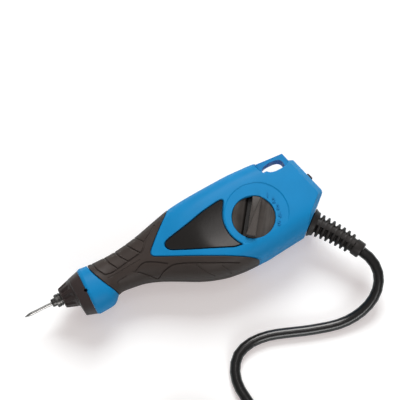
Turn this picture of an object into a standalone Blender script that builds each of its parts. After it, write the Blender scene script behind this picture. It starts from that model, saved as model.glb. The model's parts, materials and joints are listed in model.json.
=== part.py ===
"""Electric engraving pen, lying on its lower flank with the stroke dial up.

Metres, +Z up, +X towards the rear of the pen, +Y towards its back edge. The origin is at the middle
of the pen's footprint, on the surface that it lies on.
"""
import math

import bmesh
import bpy
from mathutils import Matrix, Vector

for old in list(bpy.data.objects):
    bpy.data.objects.remove(old, do_unlink=True)

# Clearances that every piece shares
GAP = 0.0003                 # running and seating gap between two pieces
OVERRUN = 0.001              # how far a cutter reaches past what it cuts
WELD = 0.00002               # points nearer than this are one point

# Body of the pen
BODY_THICKNESS = 0.038       # across the two flat flanks
BODY_DEPTH = 0.0535          # from back edge to belly
BODY_LENGTH = 0.150          # from the nose seam to the end of the untrimmed loft
SEAM_X = -0.0551             # where the nose cap meets the housing
SKIN_DEPTH = 0.0016          # rubber grip and plate
CORE_WALL = 0.0017           # housing wall under the grip
BODY_SIDES = 24
CAVITY_SIDES = 16
MID_Z = BODY_THICKNESS / 2
HALF_DEPTH = BODY_DEPTH / 2
POCKET_DEPTH = SKIN_DEPTH + GAP
WALL = POCKET_DEPTH + CORE_WALL

# Stations of the body: place along BODY_LENGTH, back edge and belly as shares of HALF_DEPTH,
# half thickness as a share of MID_Z, and the power of the rounded section
BODY_STATION_SHARES = [
    (0.000, 0.636, -0.374, 0.700, 2.20),
    (0.010, 0.658, -0.400, 0.737, 2.20),
    (0.041, 0.643, -0.393, 0.721, 2.20),
    (0.071, 0.632, -0.374, 0.695, 2.20),
    (0.087, 0.630, -0.321, 0.663, 2.25),
    (0.104, 0.628, -0.224, 0.637, 2.30),
    (0.127, 0.628, -0.194, 0.626, 2.30),
    (0.167, 0.643, -0.217, 0.632, 2.35),
    (0.207, 0.673, -0.250, 0.658, 2.40),
    (0.254, 0.718, -0.333, 0.705, 2.50),
    (0.301, 0.778, -0.449, 0.768, 2.70),
    (0.354, 0.849, -0.598, 0.853, 2.90),
    (0.407, 0.912, -0.748, 0.937, 3.10),
    (0.461, 0.946, -0.864, 1.000, 3.30),
    (0.527, 0.968, -0.957, 1.042, 3.50),
    (0.607, 0.987, -0.998, 1.053, 3.60),
    (0.674, 1.000, -1.000, 1.053, 3.60),
    (0.741, 0.987, -0.968, 1.053, 3.60),
    (0.834, 0.953, -0.920, 1.053, 3.60),
    (0.927, 0.920, -0.879, 1.047, 3.60),
    (1.000, 0.893, -0.822, 1.042, 3.60),
]
CORE_STATIONS = slice(1, 17)      # the core under the grip starts inside the front ring
CAVITY_STATIONS = slice(2, None)

# Rear end: a switch face and a cord face meet at the rear corner. Each is given by the angle
# of its outward direction, which sets its distance from the origin
REAR_CORNER_SHARES = (0.97705, -0.31200)
REAR_CORNER_X = SEAM_X + REAR_CORNER_SHARES[0] * BODY_LENGTH
REAR_CORNER_Y = REAR_CORNER_SHARES[1] * HALF_DEPTH
SWITCH_FACE_ANGLE = math.radians(14.6)
SWITCH_FACE_REACH = REAR_CORNER_X * math.cos(SWITCH_FACE_ANGLE) + REAR_CORNER_Y * math.sin(SWITCH_FACE_ANGLE)
CORD_FACE_ANGLE = math.radians(-50.6)
CORD_FACE_REACH = REAR_CORNER_X * math.cos(CORD_FACE_ANGLE) + REAR_CORNER_Y * math.sin(CORD_FACE_ANGLE)
CORD_FACE_LOW_SHARE = -0.9146     # of HALF_DEPTH, where the cord face meets the belly
REAR_CORNER_ROUND = 0.003
REAR_CORNER_STEPS = 4
SWITCH_BEVEL_WIDTH = 0.0042
CORD_BEVEL_WIDTH = 0.0020
REAR_BEVEL_HEIGHT = 0.006

# Grip outline, as shares of BODY_LENGTH from the seam and of HALF_DEPTH
GRIP_OUTLINE_SHARES = [
    (0.041, 1.200), (0.045, 0.546), (0.050, 0.393), (0.059, 0.250), (0.075, 0.045),
    (0.098, -0.164), (0.118, -0.299), (0.147, -0.486), (0.201, -1.350), (0.754, -1.350),
    (0.701, -1.178), (0.604, -0.882), (0.437, -0.393), (0.305, 0.004), (0.280, 0.082),
    (0.277, 0.146), (0.282, 0.217), (0.321, 0.422), (0.373, 0.673), (0.392, 0.759),
    (0.467, 1.196),
]
PLATE_FRONT_SHARE = 0.339    # of BODY_LENGTH from the seam
PLATE_ARC_GAP = 0.0008       # between the scale ring and the plate's hollow edge
PLATE_ARC_FIRST = math.radians(218)
PLATE_ARC_LAST = math.radians(143)
PLATE_ARC_STEPS = 7
# Plate outline, as shares of the way from its front to the scale ring and of HALF_DEPTH
PLATE_OUTLINE_SHARES = [
    (1.177, 0.445), (1.151, 0.486), (1.096, 0.486), (0.942, 0.464), (0.745, 0.422),
    (0.535, 0.355), (0.334, 0.307), (0.098, 0.258), (0.026, 0.224), (0.004, 0.180),
    (0.000, 0.135), (0.013, 0.090), (0.047, 0.019), (0.402, -0.217), (0.843, -0.475),
    (0.989, -0.564), (1.040, -0.572),
]

# Hanging slot in the back edge, under a bar that is thinner than the body
SLOT_LENGTH_SHARES = (0.81400, 0.90733)      # of BODY_LENGTH from the seam, front and rear
SLOT_HEIGHT_SHARES = (0.51215, 0.85981)      # of HALF_DEPTH, low and high
SLOT_FRONT_X = SEAM_X + SLOT_LENGTH_SHARES[0] * BODY_LENGTH
SLOT_REAR_X = SEAM_X + SLOT_LENGTH_SHARES[1] * BODY_LENGTH
SLOT_LOW_Y = SLOT_HEIGHT_SHARES[0] * HALF_DEPTH
SLOT_HIGH_Y = SLOT_HEIGHT_SHARES[1] * HALF_DEPTH
SLOT_WALL = 0.0016
SLOT_ROUND = 0.0034
SLOT_STEPS = 4
SLOT_BAR_SHARE = 0.22368     # of MID_Z, the bar's half thickness
SLOT_BAR_HALF = SLOT_BAR_SHARE * MID_Z
RELIEF_LOW_SHARE = 0.59813   # of HALF_DEPTH, where the flanks step down to the bar
RELIEF_LOW_Y = RELIEF_LOW_SHARE * HALF_DEPTH
RELIEF_FLOOR_START = 0.0007  # behind the slot's front end, where the bar is at its thinnest
RELIEF_TOP_LEAD = 0.0020     # before the slot's front end, where the relief starts on the flank
RELIEF_SWEEP = 0.0050        # how much further forwards it starts at the back edge
RELIEF_WALL = 0.0036         # between the cavity and the relief

# Stroke dial and its scale ring
DIAL_SHARES = (0.686667, -0.168224)
DIAL_X = SEAM_X + DIAL_SHARES[0] * BODY_LENGTH
DIAL_Y = DIAL_SHARES[1] * HALF_DEPTH
DIAL_RADIUS = 0.0123
DIAL_FACE_DROP = 0.0004      # the dial's face lies this far under the flank
DIAL_FACE_Z = BODY_THICKNESS - DIAL_FACE_DROP
SEAL_WIRE_RADIUS = 0.00075
DIAL_FLANGE_MARGIN = 0.0021
DIAL_FLANGE_RADIUS = DIAL_RADIUS + DIAL_FLANGE_MARGIN
DIAL_FLANGE_THICKNESS = 0.0018
DIAL_FLANGE_TOP_Z = BODY_THICKNESS - WALL - GAP - 2 * SEAL_WIRE_RADIUS - GAP
DIAL_FLANGE_Z = DIAL_FLANGE_TOP_Z - DIAL_FLANGE_THICKNESS
DIAL_RUNNING_GAP = 0.0004
DIAL_CHAMFER = 0.0005
DIAL_SIDES = 36
BAR_WIDTH = 0.0056
BAR_HEIGHT = 0.0028          # over the dial's face
BAR_TOP_Z = DIAL_FACE_Z + BAR_HEIGHT
BAR_ROOT_DEPTH = 0.0009
BAR_ANGLE = math.radians(53.5)
BAR_END_GAP = 0.0006
BAR_END_STEPS = 4
SCOOP_RADIUS = 0.0078
SCOOP_OFFSET = 0.0083
SCOOP_DEPTH = 0.0022
SCOOP_SIDES = 20
SCALE_RING_MARGIN = 0.0065
SCALE_RING_RADIUS = DIAL_RADIUS + SCALE_RING_MARGIN
SCALE_RING_SHIFT_X = 0.0025
SCALE_RING_SHIFT_Y = 0.0008
SCALE_RING_DEPTH = 0.0005
DIAL_TRAVEL = math.radians(100)
SEAL_SIDES = 24
SEAL_WIRE_SIDES = 6

# Spindle and stroke cam under the dial
SPINDLE_RADIUS = 0.0025
SPINDLE_FOOT = 0.0047        # from the lower wall up to the spindle's foot
SPINDLE_FOOT_Z = WALL + SPINDLE_FOOT
DIAL_WEB = 0.0019            # between the dial's hollows and the spindle's top
SPINDLE_TOP_Z = DIAL_FACE_Z - SCOOP_DEPTH - DIAL_WEB
SPINDLE_SIDES = 20
CAM_LOW_RADIUS = 0.0080
CAM_RISE = 0.0009
CAM_THICKNESS = 0.006
CAM_LOW_Z = MID_Z - CAM_THICKNESS / 2
PILLAR_RADIUS = 0.0044
PILLAR_DROP = 0.0020         # from the cam down to the pillar's top
PILLAR_TOP_Z = CAM_LOW_Z - PILLAR_DROP
CAM_SIDES = 36
CAM_DWELL = math.radians(14)

# Magnet core, bobbin and winding
CORE_LENGTH_SHARES = (0.40733, 0.59400)      # of BODY_LENGTH from the seam, front and rear
CORE_HEIGHT_SHARES = (-0.380, 0.700)         # of HALF_DEPTH, low and high
CORE_FRONT_X = SEAM_X + CORE_LENGTH_SHARES[0] * BODY_LENGTH
CORE_REAR_X = SEAM_X + CORE_LENGTH_SHARES[1] * BODY_LENGTH
CORE_LOW_Y = CORE_HEIGHT_SHARES[0] * HALF_DEPTH
CORE_HIGH_Y = CORE_HEIGHT_SHARES[1] * HALF_DEPTH
CORE_HEIGHT = CORE_HIGH_Y - CORE_LOW_Y
CORE_BACK_THICKNESS = 0.006
CORE_OUTER_LEG_SHARE = 0.18333               # of the core's height
CORE_CENTRE_LEG_SHARE = 0.33333
CORE_OUTER_LEG = CORE_OUTER_LEG_SHARE * CORE_HEIGHT
CORE_CENTRE_LEG = CORE_CENTRE_LEG_SHARE * CORE_HEIGHT
CORE_HALF_STACK_SHARE = 0.42105              # of MID_Z
CORE_HALF_STACK = CORE_HALF_STACK_SHARE * MID_Z
CORE_LOW_Z = MID_Z - CORE_HALF_STACK
CORE_SCREW_INSET = 0.0028
CORE_PILLAR_RADIUS = 0.0032
CORE_SCREW_REACH = 0.0055
BOBBIN_WALL = 0.0010
BOBBIN_FLANGE = 0.0012
BOBBIN_FRONT_GAP = 0.0006
BOBBIN_HALF_HEIGHT_SHARE = 0.62105           # of MID_Z
BOBBIN_HALF_HEIGHT = BOBBIN_HALF_HEIGHT_SHARE * MID_Z
WINDING_MARGIN = 0.0005

# Armature and its screw
STROKE = 0.0012              # travel of the plunger that every setting leaves free
ARMATURE_REST_GAP = 0.0024   # between the armature and the magnet at the end of that stroke
ARMATURE_THICKNESS = 0.006
ARMATURE_FRONT_X = CORE_FRONT_X - ARMATURE_REST_GAP - STROKE - ARMATURE_THICKNESS
ARMATURE_HEIGHT_SHARES = (-0.355, 0.620)         # of HALF_DEPTH, low and high
ARMATURE_LOW_Y = ARMATURE_HEIGHT_SHARES[0] * HALF_DEPTH
ARMATURE_HIGH_Y = ARMATURE_HEIGHT_SHARES[1] * HALF_DEPTH
ARMATURE_HALF_HEIGHT_SHARE = 0.31579             # of MID_Z
ARMATURE_HALF_HEIGHT = ARMATURE_HALF_HEIGHT_SHARE * MID_Z
ARMATURE_SCREW_LENGTH = 0.0115

# Stop slide between the cam and the armature
SLIDE_WIDTH = 0.0030
SLIDE_CORE_GAP = 0.0007      # between the slide and the magnet core's low leg
SLIDE_LOW_Y = CORE_LOW_Y - SLIDE_CORE_GAP - SLIDE_WIDTH
SLIDE_LUG_THICKNESS = 0.0027
SLIDE_LUG_RISE = 0.0033      # over the dial's centre
SLIDE_LUG_TOP_Y = DIAL_Y + SLIDE_LUG_RISE
SLIDE_TOE_THICKNESS = 0.0009
SLIDE_TOE_LAP = 0.0020       # how far the toe stands over the armature's low edge
SLIDE_TOE_TOP_Y = ARMATURE_LOW_Y + SLIDE_TOE_LAP
SLIDE_RAIL_SHARES = (0.44733, 0.56733)       # of BODY_LENGTH from the seam, front and rear
SLIDE_RAIL_FRONT_X = SEAM_X + SLIDE_RAIL_SHARES[0] * BODY_LENGTH
SLIDE_RAIL_REAR_X = SEAM_X + SLIDE_RAIL_SHARES[1] * BODY_LENGTH
SLIDE_RAIL_MARGIN = 0.0004

# Needle, chuck and plunger, all on the needle's axis
NEEDLE_SHARE = 0.26168       # of HALF_DEPTH
NEEDLE_Y = NEEDLE_SHARE * HALF_DEPTH
NEEDLE_REACH = 0.0381        # from the seam forwards to the needle's tip
TIP_X = SEAM_X - NEEDLE_REACH
NEEDLE_RADIUS = 0.0010
NEEDLE_POINT_LENGTH = 0.0036
NEEDLE_POINT_RADIUS = 0.00012
NEEDLE_HOLD = 0.0027         # from the seam back to the needle's end
NEEDLE_END_X = SEAM_X + NEEDLE_HOLD
NEEDLE_SIDES = 16
CHUCK_REACH = 0.0209
CHUCK_FRONT_X = SEAM_X - CHUCK_REACH
CHUCK_LIP_RADIUS = 0.0024
CHUCK_LIP_LENGTH = 0.0026
CHUCK_COLLAR_RADIUS = 0.0039
CHUCK_COLLAR_LENGTH = 0.0061
CHUCK_COLLAR_REAR_X = CHUCK_FRONT_X + CHUCK_COLLAR_LENGTH
CHUCK_STEM_RADIUS = 0.0034
CHUCK_TAIL = 0.0049          # from the seam back to the chuck's end
CHUCK_REAR_X = SEAM_X + CHUCK_TAIL
CHUCK_CHAMFER = 0.0004
CHUCK_SIDES = 24
SET_SCREW_RADIUS = 0.0015
SET_SCREW_LENGTH = 0.0020
SET_SCREW_TILT = math.radians(20)
ACCESS_HOLE_RADIUS = 0.0010
SMALL_HOLE_SIDES = 12
PLUNGER_RADIUS_SHARE = 0.11215       # of HALF_DEPTH
PLUNGER_RADIUS = PLUNGER_RADIUS_SHARE * HALF_DEPTH
PLUNGER_COLLAR_RADIUS_SHARE = 0.20187
PLUNGER_COLLAR_RADIUS = PLUNGER_COLLAR_RADIUS_SHARE * HALF_DEPTH
PLUNGER_COLLAR_LENGTH = 0.0020
PLUNGER_SIDES = 20

# Nose cap, turned about the needle's axis, with a deep collar against the housing
NOSE_FRONT_RADIUS = 0.0059
NOSE_CONE_LENGTH = 0.0073
NOSE_CONE_REAR_RADIUS = 0.0082
NOSE_EDGE = 0.0005
NOSE_SIDES = 32
NOSE_COLLAR_SIDES = 28
NOSE_COLLAR_LENGTH = 0.0068
NOSE_CONE_REAR_X = SEAM_X - GAP - NOSE_COLLAR_LENGTH
NOSE_FRONT_X = NOSE_CONE_REAR_X - NOSE_CONE_LENGTH
NOSE_COLLAR_BASE = 0.0017
NOSE_COLLAR_STATION_SHARES = [
    (0.000, 0.583, -0.273, 0.600, 2.20),
    (0.300, 0.600, -0.325, 0.645, 2.20),
    (1.000, 0.634, -0.372, 0.680, 2.20),
]
NOSE_MOUTH_RADIUS = 0.0045
NOSE_MOUTH_DEPTH = 0.0019
NOSE_MOUTH_REAR_X = NOSE_FRONT_X + NOSE_MOUTH_DEPTH
NOSE_LIP_RADIUS = 0.0038
BUSH_DEPTH = 0.0029          # from the nose's front back to the bush
BUSH_FRONT_X = NOSE_FRONT_X + BUSH_DEPTH
BUSH_LENGTH = 0.0053
BUSH_OUTER_RADIUS = 0.0050
NOSE_HOLLOW_RADIUS = 0.0066
SPIGOT_RADIUS = 0.0076
SPIGOT_LENGTH = 0.0048
SPIGOT_REAR_X = SEAM_X + SPIGOT_LENGTH
FLUTE_COUNT = 10
FLUTE_RADIUS = 0.0012
FLUTE_LENGTH = 0.0050
FLUTE_DEPTH = 0.0007
FLUTE_SIDES = 8

# Return spring and rear guide
GUIDE_SHARE = 0.100667       # of BODY_LENGTH from the seam
GUIDE_FRONT_X = SEAM_X + GUIDE_SHARE * BODY_LENGTH
GUIDE_LENGTH = 0.006
SPRING_RADIUS_SHARE = 0.15701        # of HALF_DEPTH
SPRING_RADIUS = SPRING_RADIUS_SHARE * HALF_DEPTH
SPRING_WIRE_RADIUS = 0.00042
SPRING_TURNS = 4
SPRING_ROOM = GUIDE_FRONT_X - CHUCK_REAR_X - GAP - PLUNGER_COLLAR_LENGTH - 2 * (GAP + SPRING_WIRE_RADIUS)
SPRING_PITCH = SPRING_ROOM / SPRING_TURNS
SPRING_POINTS = 10

# Screws
SCREW_RADIUS = 0.0015
SCREW_HEAD_RADIUS = 0.0028
SCREW_HEAD_HEIGHT = 0.0018
SCREW_SIDES = 14
SMALL_SCREW_RADIUS = 0.0012
SMALL_SCREW_HEAD_RADIUS = 0.0021
SMALL_SCREW_HEAD_HEIGHT = 0.0013
COUNTERBORE_GAP = 0.0004
SCREW_SINK = 0.0009          # how far a housing screw's head lies below the skin
SCREW_REACH = 0.009          # how far a housing screw reaches past the parting plane
BOSS_RADIUS = 0.0042
SCREW_HEAD_TAPER_SHARE = 0.8     # of a head's radius, on its far side
GRIP_SCREW_SHARES = (0.501, -0.745)     # the one whose head is reached through the grip
HOUSING_SCREW_SHARES = [     # of BODY_LENGTH from the seam, and of HALF_DEPTH
    (0.067, -0.108),
    GRIP_SCREW_SHARES,
    (0.747, 0.729),
    (0.750, -0.750),
]

# Switch: the slider shows on the switch face, its body sits behind the wall
SWITCH_RISE_SHARE = 0.49832  # of HALF_DEPTH, up the switch face from the rear corner
SWITCH_RISE = SWITCH_RISE_SHARE * HALF_DEPTH
SLIDER_NUB_WIDTH = 0.0042
SLIDER_NUB_HALF_HEIGHT = 0.0026
SLIDER_NUB_HEIGHT = 0.0040
SLIDER_PLATE_HALF_LENGTH = 0.0055
SLIDER_PLATE_HALF_HEIGHT = 0.0036
SLIDER_PLATE_THICKNESS = 0.0012
SLIDER_TRAVEL = 0.0028
SLIDER_NUB_ROUND = 0.0008
SWITCH_BODY_FRONT = -WALL - GAP - SLIDER_PLATE_THICKNESS - GAP
SWITCH_BODY_SHARES = (-0.1200, 0.3250)     # of HALF_DEPTH, low and high, from the slider's centre
SWITCH_BODY_LOW = SWITCH_BODY_SHARES[0] * HALF_DEPTH
SWITCH_BODY_HIGH = SWITCH_BODY_SHARES[1] * HALF_DEPTH
SWITCH_BODY_LENGTH = SWITCH_BODY_HIGH - SWITCH_BODY_LOW
SWITCH_BODY_DEPTH = 0.0089
SWITCH_BODY_HALF_HEIGHT = 0.0065
SWITCH_BODY_EDGE = 0.0005
SWITCH_PAD_WIDTH = 0.003

# Cord boot on the cord face
BOOT_FROM_BELLY_SHARE = 0.33794      # of HALF_DEPTH, up the cord face from its belly end
BOOT_FROM_BELLY = BOOT_FROM_BELLY_SHARE * HALF_DEPTH
BOOT_FROM_CORNER = ((REAR_CORNER_Y - CORD_FACE_LOW_SHARE * HALF_DEPTH) / math.cos(CORD_FACE_ANGLE)
                    - BOOT_FROM_BELLY)
BOOT_X = REAR_CORNER_X + BOOT_FROM_CORNER * math.sin(CORD_FACE_ANGLE)
BOOT_Y = REAR_CORNER_Y - BOOT_FROM_CORNER * math.cos(CORD_FACE_ANGLE)
BOOT_LENGTH = 0.0340
BOOT_BEND = math.radians(-15)
BOOT_INNER_LENGTH = 0.0062
BOOT_INNER_FLANGE = 0.0022
BOOT_INNER_RADIUS_SHARE = 0.28000    # of HALF_DEPTH
BOOT_INNER_RADIUS = BOOT_INNER_RADIUS_SHARE * HALF_DEPTH
BOOT_NECK_RADIUS = 0.0060
BOOT_FLANGE_RADIUS = 0.0076
BOOT_FLANGE_THICKNESS = 0.003
BOOT_RIBS = 6
BOOT_RIB_FIRST = 0.0052
BOOT_RIB_PITCH = 0.0038
BOOT_RIB_WIDTH = 0.0020
BOOT_RIB_FIRST_RADIUS = 0.0070
BOOT_RIB_LAST_RADIUS = 0.0059
BOOT_CORE_FIRST_RADIUS = 0.0052
BOOT_CORE_LAST_RADIUS = 0.0045
BOOT_SPINE_WIDTH = 0.0030
BOOT_SPINE_DROP = 0.0003
BOOT_SPINE_STATIONS = 6
BOOT_END_RADIUS = 0.0049
BOOT_SIDES = 16

# Cord, its tail inside the housing and the clamp
CORD_DIAMETER = 0.0062
CORD_RADIUS = CORD_DIAMETER / 2
CORD_TOP_Z = MID_Z + CORD_RADIUS
TAIL_SHARE = 0.076667        # of BODY_LENGTH
TAIL_LENGTH = TAIL_SHARE * BODY_LENGTH
TAIL_SIDES = 12
CLAMP_PLACE = 0.0092         # from the cord face inwards, along the cord
CLAMP_LENGTH = 0.0044
CLAMP_THICKNESS = 0.0024
CLAMP_POST_RADIUS = 0.0023
CLAMP_SCREW_PLACE = CORD_RADIUS + GAP + CLAMP_POST_RADIUS
CLAMP_HALF_WIDTH = CLAMP_SCREW_PLACE + SMALL_SCREW_HEAD_RADIUS
CLAMP_SCREW_REACH = 0.0100
SADDLE_HALF_WIDTH = 0.0026
SADDLE_HALF_LENGTH = 0.0016

# Leads inside the housing
LEAD_RADIUS = 0.0008
LEAD_BERTH = 0.0045
LEAD_Z = (MID_Z + CORE_HALF_STACK + DIAL_FLANGE_Z) / 2     # between the core and the dial's flange

# Free cord: the route's points as distances from the boot's end, with each height
# as a share of the way from lying on the ground to the pen's mid-plane
CORD_ROUTE = [
    (0.00000, 0.00000, 1.0000), (0.00176, -0.00375, 0.9937), (0.00306, -0.00875, 0.9371),
    (0.00296, -0.01425, 0.8239), (0.00106, -0.01955, 0.6541), (-0.00284, -0.02415, 0.4717),
    (-0.00824, -0.02745, 0.3082), (-0.01484, -0.02945, 0.1698), (-0.02234, -0.03015, 0.0629),
    (-0.03034, -0.02945, 0.0126), (-0.03884, -0.02725, 0.0000), (-0.04934, -0.02385, 0.0000),
    (-0.05984, -0.01985, 0.0000), (-0.06984, -0.01665, 0.0000), (-0.08034, -0.01565, 0.0000),
    (-0.08984, -0.01835, 0.0000), (-0.09594, -0.02545, 0.0000), (-0.09834, -0.03445, 0.0000),
    (-0.09764, -0.04415, 0.0000), (-0.09644, -0.05425, 0.0063), (-0.09574, -0.06425, 0.0252),
    (-0.09554, -0.07425, 0.0566), (-0.09574, -0.08375, 0.0692),
]
ROUTE_FINE_STEPS = 12
CORD_STEPS = 27
CORD_BEVEL_RESOLUTION = 3

# Put-away coil: it spirals in on the surface, climbs and spirals out again, and its tail
# turns back over it to the plug, which lies on top
COIL_INNER_RADIUS = 4 * CORD_DIAMETER
COIL_CLEARANCE = 0.0005
COIL_PITCH = CORD_DIAMETER + COIL_CLEARANCE
COIL_TURNS_IN = 3.25
COIL_CLIMB_TURNS = 0.5
COIL_TURNS_OUT = 3.0
COIL_POINTS = 24
COIL_LIFT = 0.0011           # of the coil's underside over the ground, for the tie
COIL_Z = CORD_RADIUS + COIL_LIFT
TAIL_BEND_RADIUS = 0.0256
TAIL_STEPS = 14
TAIL_RAMP_LEAD = 0.015       # how far before the end of the turns the tail starts to climb
TAIL_RAMP = 0.040
TAIL_LEVEL = 0.045           # how far along the bend the rise to the plug starts
TAIL_END = 0.003             # straight piece before the plug
COIL_LEAST_GAP = 0.0004
TIE_THICKNESS = 0.0007
TIE_GAP = 0.0004
TIE_WIDTH = 0.010
TIE_ANGLE = math.radians(118)
TIE_ROUND = 0.0030
TIE_ROUND_STEPS = 4

# Flat two-pin plug
PLUG_THICKNESS = 0.0137
PLUG_HALF_WIDTH = 0.0150
PLUG_LENGTH = 0.0440
PLUG_STATION_SHARES = [      # of length, half width, half thickness, and the section's power
    (0.000, 0.287, 0.628, 2.0),
    (0.180, 0.320, 0.680, 2.0),
    (0.300, 0.540, 0.860, 2.4),
    (0.450, 0.860, 1.000, 3.0),
    (0.700, 1.000, 1.000, 3.4),
    (1.000, 0.960, 0.960, 3.6),
]
PLUG_SIDES = 24
PIN_RADIUS = 0.0020
PIN_LENGTH = 0.0190
PIN_SPACING = 0.0186
PIN_SIDES = 14

# Colours: red, green and blue, roughness, metallic
FINISHES = {
    "blue_shell": ((0.015, 0.205, 0.560, 1.0), 0.38, 0.0),
    "black_rubber": ((0.038, 0.033, 0.031, 1.0), 0.62, 0.0),
    "black_plastic": ((0.018, 0.017, 0.017, 1.0), 0.35, 0.0),
    "plate_gloss": ((0.012, 0.011, 0.010, 1.0), 0.12, 0.0),
    "dial_plastic": ((0.050, 0.043, 0.040, 1.0), 0.45, 0.0),
    "steel": ((0.550, 0.545, 0.535, 1.0), 0.28, 1.0),
    "core_iron": ((0.190, 0.185, 0.180, 1.0), 0.50, 1.0),
    "brass": ((0.720, 0.520, 0.210, 1.0), 0.32, 1.0),
    "copper": ((0.620, 0.250, 0.110, 1.0), 0.40, 1.0),
    "cream_nylon": ((0.640, 0.600, 0.500, 1.0), 0.50, 0.0),
    "cord_jacket": ((0.014, 0.013, 0.013, 1.0), 0.42, 0.0),
    "lead_brown": ((0.160, 0.060, 0.025, 1.0), 0.50, 0.0),
    "lead_blue": ((0.020, 0.100, 0.400, 1.0), 0.50, 0.0),
}


def material(finish):
    """Returns the Principled material of a finish, made once."""
    if finish in bpy.data.materials:
        return bpy.data.materials[finish]
    colour, roughness, metallic = FINISHES[finish]
    made = bpy.data.materials.new(finish)
    made.use_nodes = True
    shader = made.node_tree.nodes["Principled BSDF"]
    shader.inputs["Base Color"].default_value = colour
    shader.inputs["Roughness"].default_value = roughness
    shader.inputs["Metallic"].default_value = metallic
    made.diffuse_color = colour
    return made


# General makers

def solid(name, points, faces, finish=None, place=None):
    """Makes an object from points and faces, with its faces turned outwards."""
    mesh = bpy.data.meshes.new(name)
    mesh.from_pydata([tuple(p) for p in points], [], faces)
    work = bmesh.new()
    work.from_mesh(mesh)
    bmesh.ops.remove_doubles(work, verts=work.verts, dist=WELD)
    bmesh.ops.recalc_face_normals(work, faces=work.faces)
    work.to_mesh(mesh)
    work.free()
    made = bpy.data.objects.new(name, mesh)
    bpy.context.scene.collection.objects.link(made)
    if place is not None:
        made.matrix_world = place
    if finish is not None:
        mesh.materials.append(material(finish))
    return made


def smooth(made, angle=math.radians(32)):
    """Shades an object smooth up to an edge angle."""
    made.data.shade_smooth()
    made.data.set_sharp_from_angle(angle=angle)
    return made


def combine(target, tool, operation="DIFFERENCE"):
    """Adds a Boolean with a tool that isn't itself a piece."""
    tool.hide_render = True
    tool.display_type = "WIRE"
    step = target.modifiers.new(tool.name, "BOOLEAN")
    step.operation = operation
    step.solver = "EXACT"
    step.object = tool
    return target


def stack(name, rings, finish=None, place=None, closed=False):
    """Joins rings of equal length into a solid. A ring of one point is a tip.
    A closed stack joins its last ring to its first, which leaves a bore."""
    points = []
    starts = []
    for ring in rings:
        starts.append(len(points))
        points.extend(ring)
    faces = []
    pairs = list(zip(range(len(rings) - 1), range(1, len(rings))))
    if closed:
        pairs.append((len(rings) - 1, 0))
    for one, two in pairs:
        faces.extend(band(starts[one], len(rings[one]), starts[two], len(rings[two])))
    if not closed:
        for end in (0, len(rings) - 1):
            if len(rings[end]) > 1:
                faces.append([starts[end] + i for i in range(len(rings[end]))])
    return solid(name, points, faces, finish, place)


def band(start_one, count_one, start_two, count_two):
    """Faces between two rings, either of which may be one point."""
    count = max(count_one, count_two)
    faces = []
    for i in range(count):
        j = (i + 1) % count
        if count_one == 1:
            faces.append([start_one, start_two + j, start_two + i])
        elif count_two == 1:
            faces.append([start_one + i, start_one + j, start_two])
        else:
            faces.append([start_one + i, start_one + j, start_two + j, start_two + i])
    return faces


def turned(name, profile, sides, finish=None, place=None, closed=False):
    """Turns a profile of (height, radius) about the local Z axis."""
    rings = []
    for height, radius in profile:
        if radius == 0:
            rings.append([(0, 0, height)])
            continue
        turn = [math.tau * i / sides for i in range(sides)]
        rings.append([(radius * math.cos(a), radius * math.sin(a), height) for a in turn])
    return stack(name, rings, finish, place, closed)


def rod(name, low, high, radius, sides, finish=None, place=None):
    """A plain cylinder along the local Z axis."""
    return turned(name, [(low, radius), (high, radius)], sides, finish, place)


def block(name, low, high, finish=None, place=None):
    """A box between two corners."""
    outline = [(low[0], low[1]), (high[0], low[1]), (high[0], high[1]), (low[0], high[1])]
    return prism(name, outline, low[2], high[2], finish, place)


def prism(name, outline, low, high, finish=None, place=None):
    """An outline in X and Y, raised from low to high."""
    return stack(name, [[(x, y, low) for x, y in outline], [(x, y, high) for x, y in outline]],
                 finish, place)


def grown(outline, distance):
    """Moves every edge of an outline outwards by a distance."""
    count = len(outline)
    area = sum(outline[i - 1][0] * outline[i][1] - outline[i][0] * outline[i - 1][1]
               for i in range(count))
    side = 1 if area > 0 else -1
    made = []
    for i in range(count):
        before = Vector(outline[i]) - Vector(outline[i - 1])
        after = Vector(outline[(i + 1) % count]) - Vector(outline[i])
        one = Vector((before.y, -before.x)).normalized() * side
        two = Vector((after.y, -after.x)).normalized() * side
        across = one + two
        made.append(tuple(Vector(outline[i]) + across * (2 * distance / across.length_squared)))
    return made


def upright(x, y, z=0):
    """A place with its axes along the world's."""
    return Matrix.Translation((x, y, z))


def along_needle(x=0):
    """A place on the needle's axis whose local Z runs rearwards."""
    return Matrix.Translation((x, NEEDLE_Y, MID_Z)) @ Matrix.Rotation(math.pi / 2, 4, "Y")


def smoothstep(share):
    """Eases from 0 to 1."""
    share = min(max(share, 0), 1)
    return share * share * (3 - 2 * share)


def curve_tube(name, points, radius, resolution, finish):
    """A round tube with filled caps through a list of points."""
    curve = bpy.data.curves.new(name, "CURVE")
    curve.dimensions = "3D"
    curve.bevel_depth = radius
    curve.bevel_resolution = resolution
    curve.use_fill_caps = True
    line = curve.splines.new("POLY")
    line.points.add(len(points) - 1)
    for place, point in zip(line.points, points):
        place.co = (*point, 1)
    made = bpy.data.objects.new(name, curve)
    bpy.context.scene.collection.objects.link(made)
    curve.materials.append(material(finish))
    return made


def smooth_route(points, steps):
    """Reads a smooth curve through route points at even steps along its length."""
    points = [Vector(p) for p in points]
    fine = []
    for i in range(len(points) - 1):
        one = points[max(i - 1, 0)]
        four = points[min(i + 2, len(points) - 1)]
        two, three = points[i], points[i + 1]
        for k in range(ROUTE_FINE_STEPS):
            t = k / ROUTE_FINE_STEPS
            fine.append(0.5 * (2 * two + (three - one) * t
                               + (2 * one - 5 * two + 4 * three - four) * t ** 2
                               + (3 * two - one - 3 * three + four) * t ** 3))
    fine.append(points[-1])
    return evenly(fine, steps)


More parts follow.
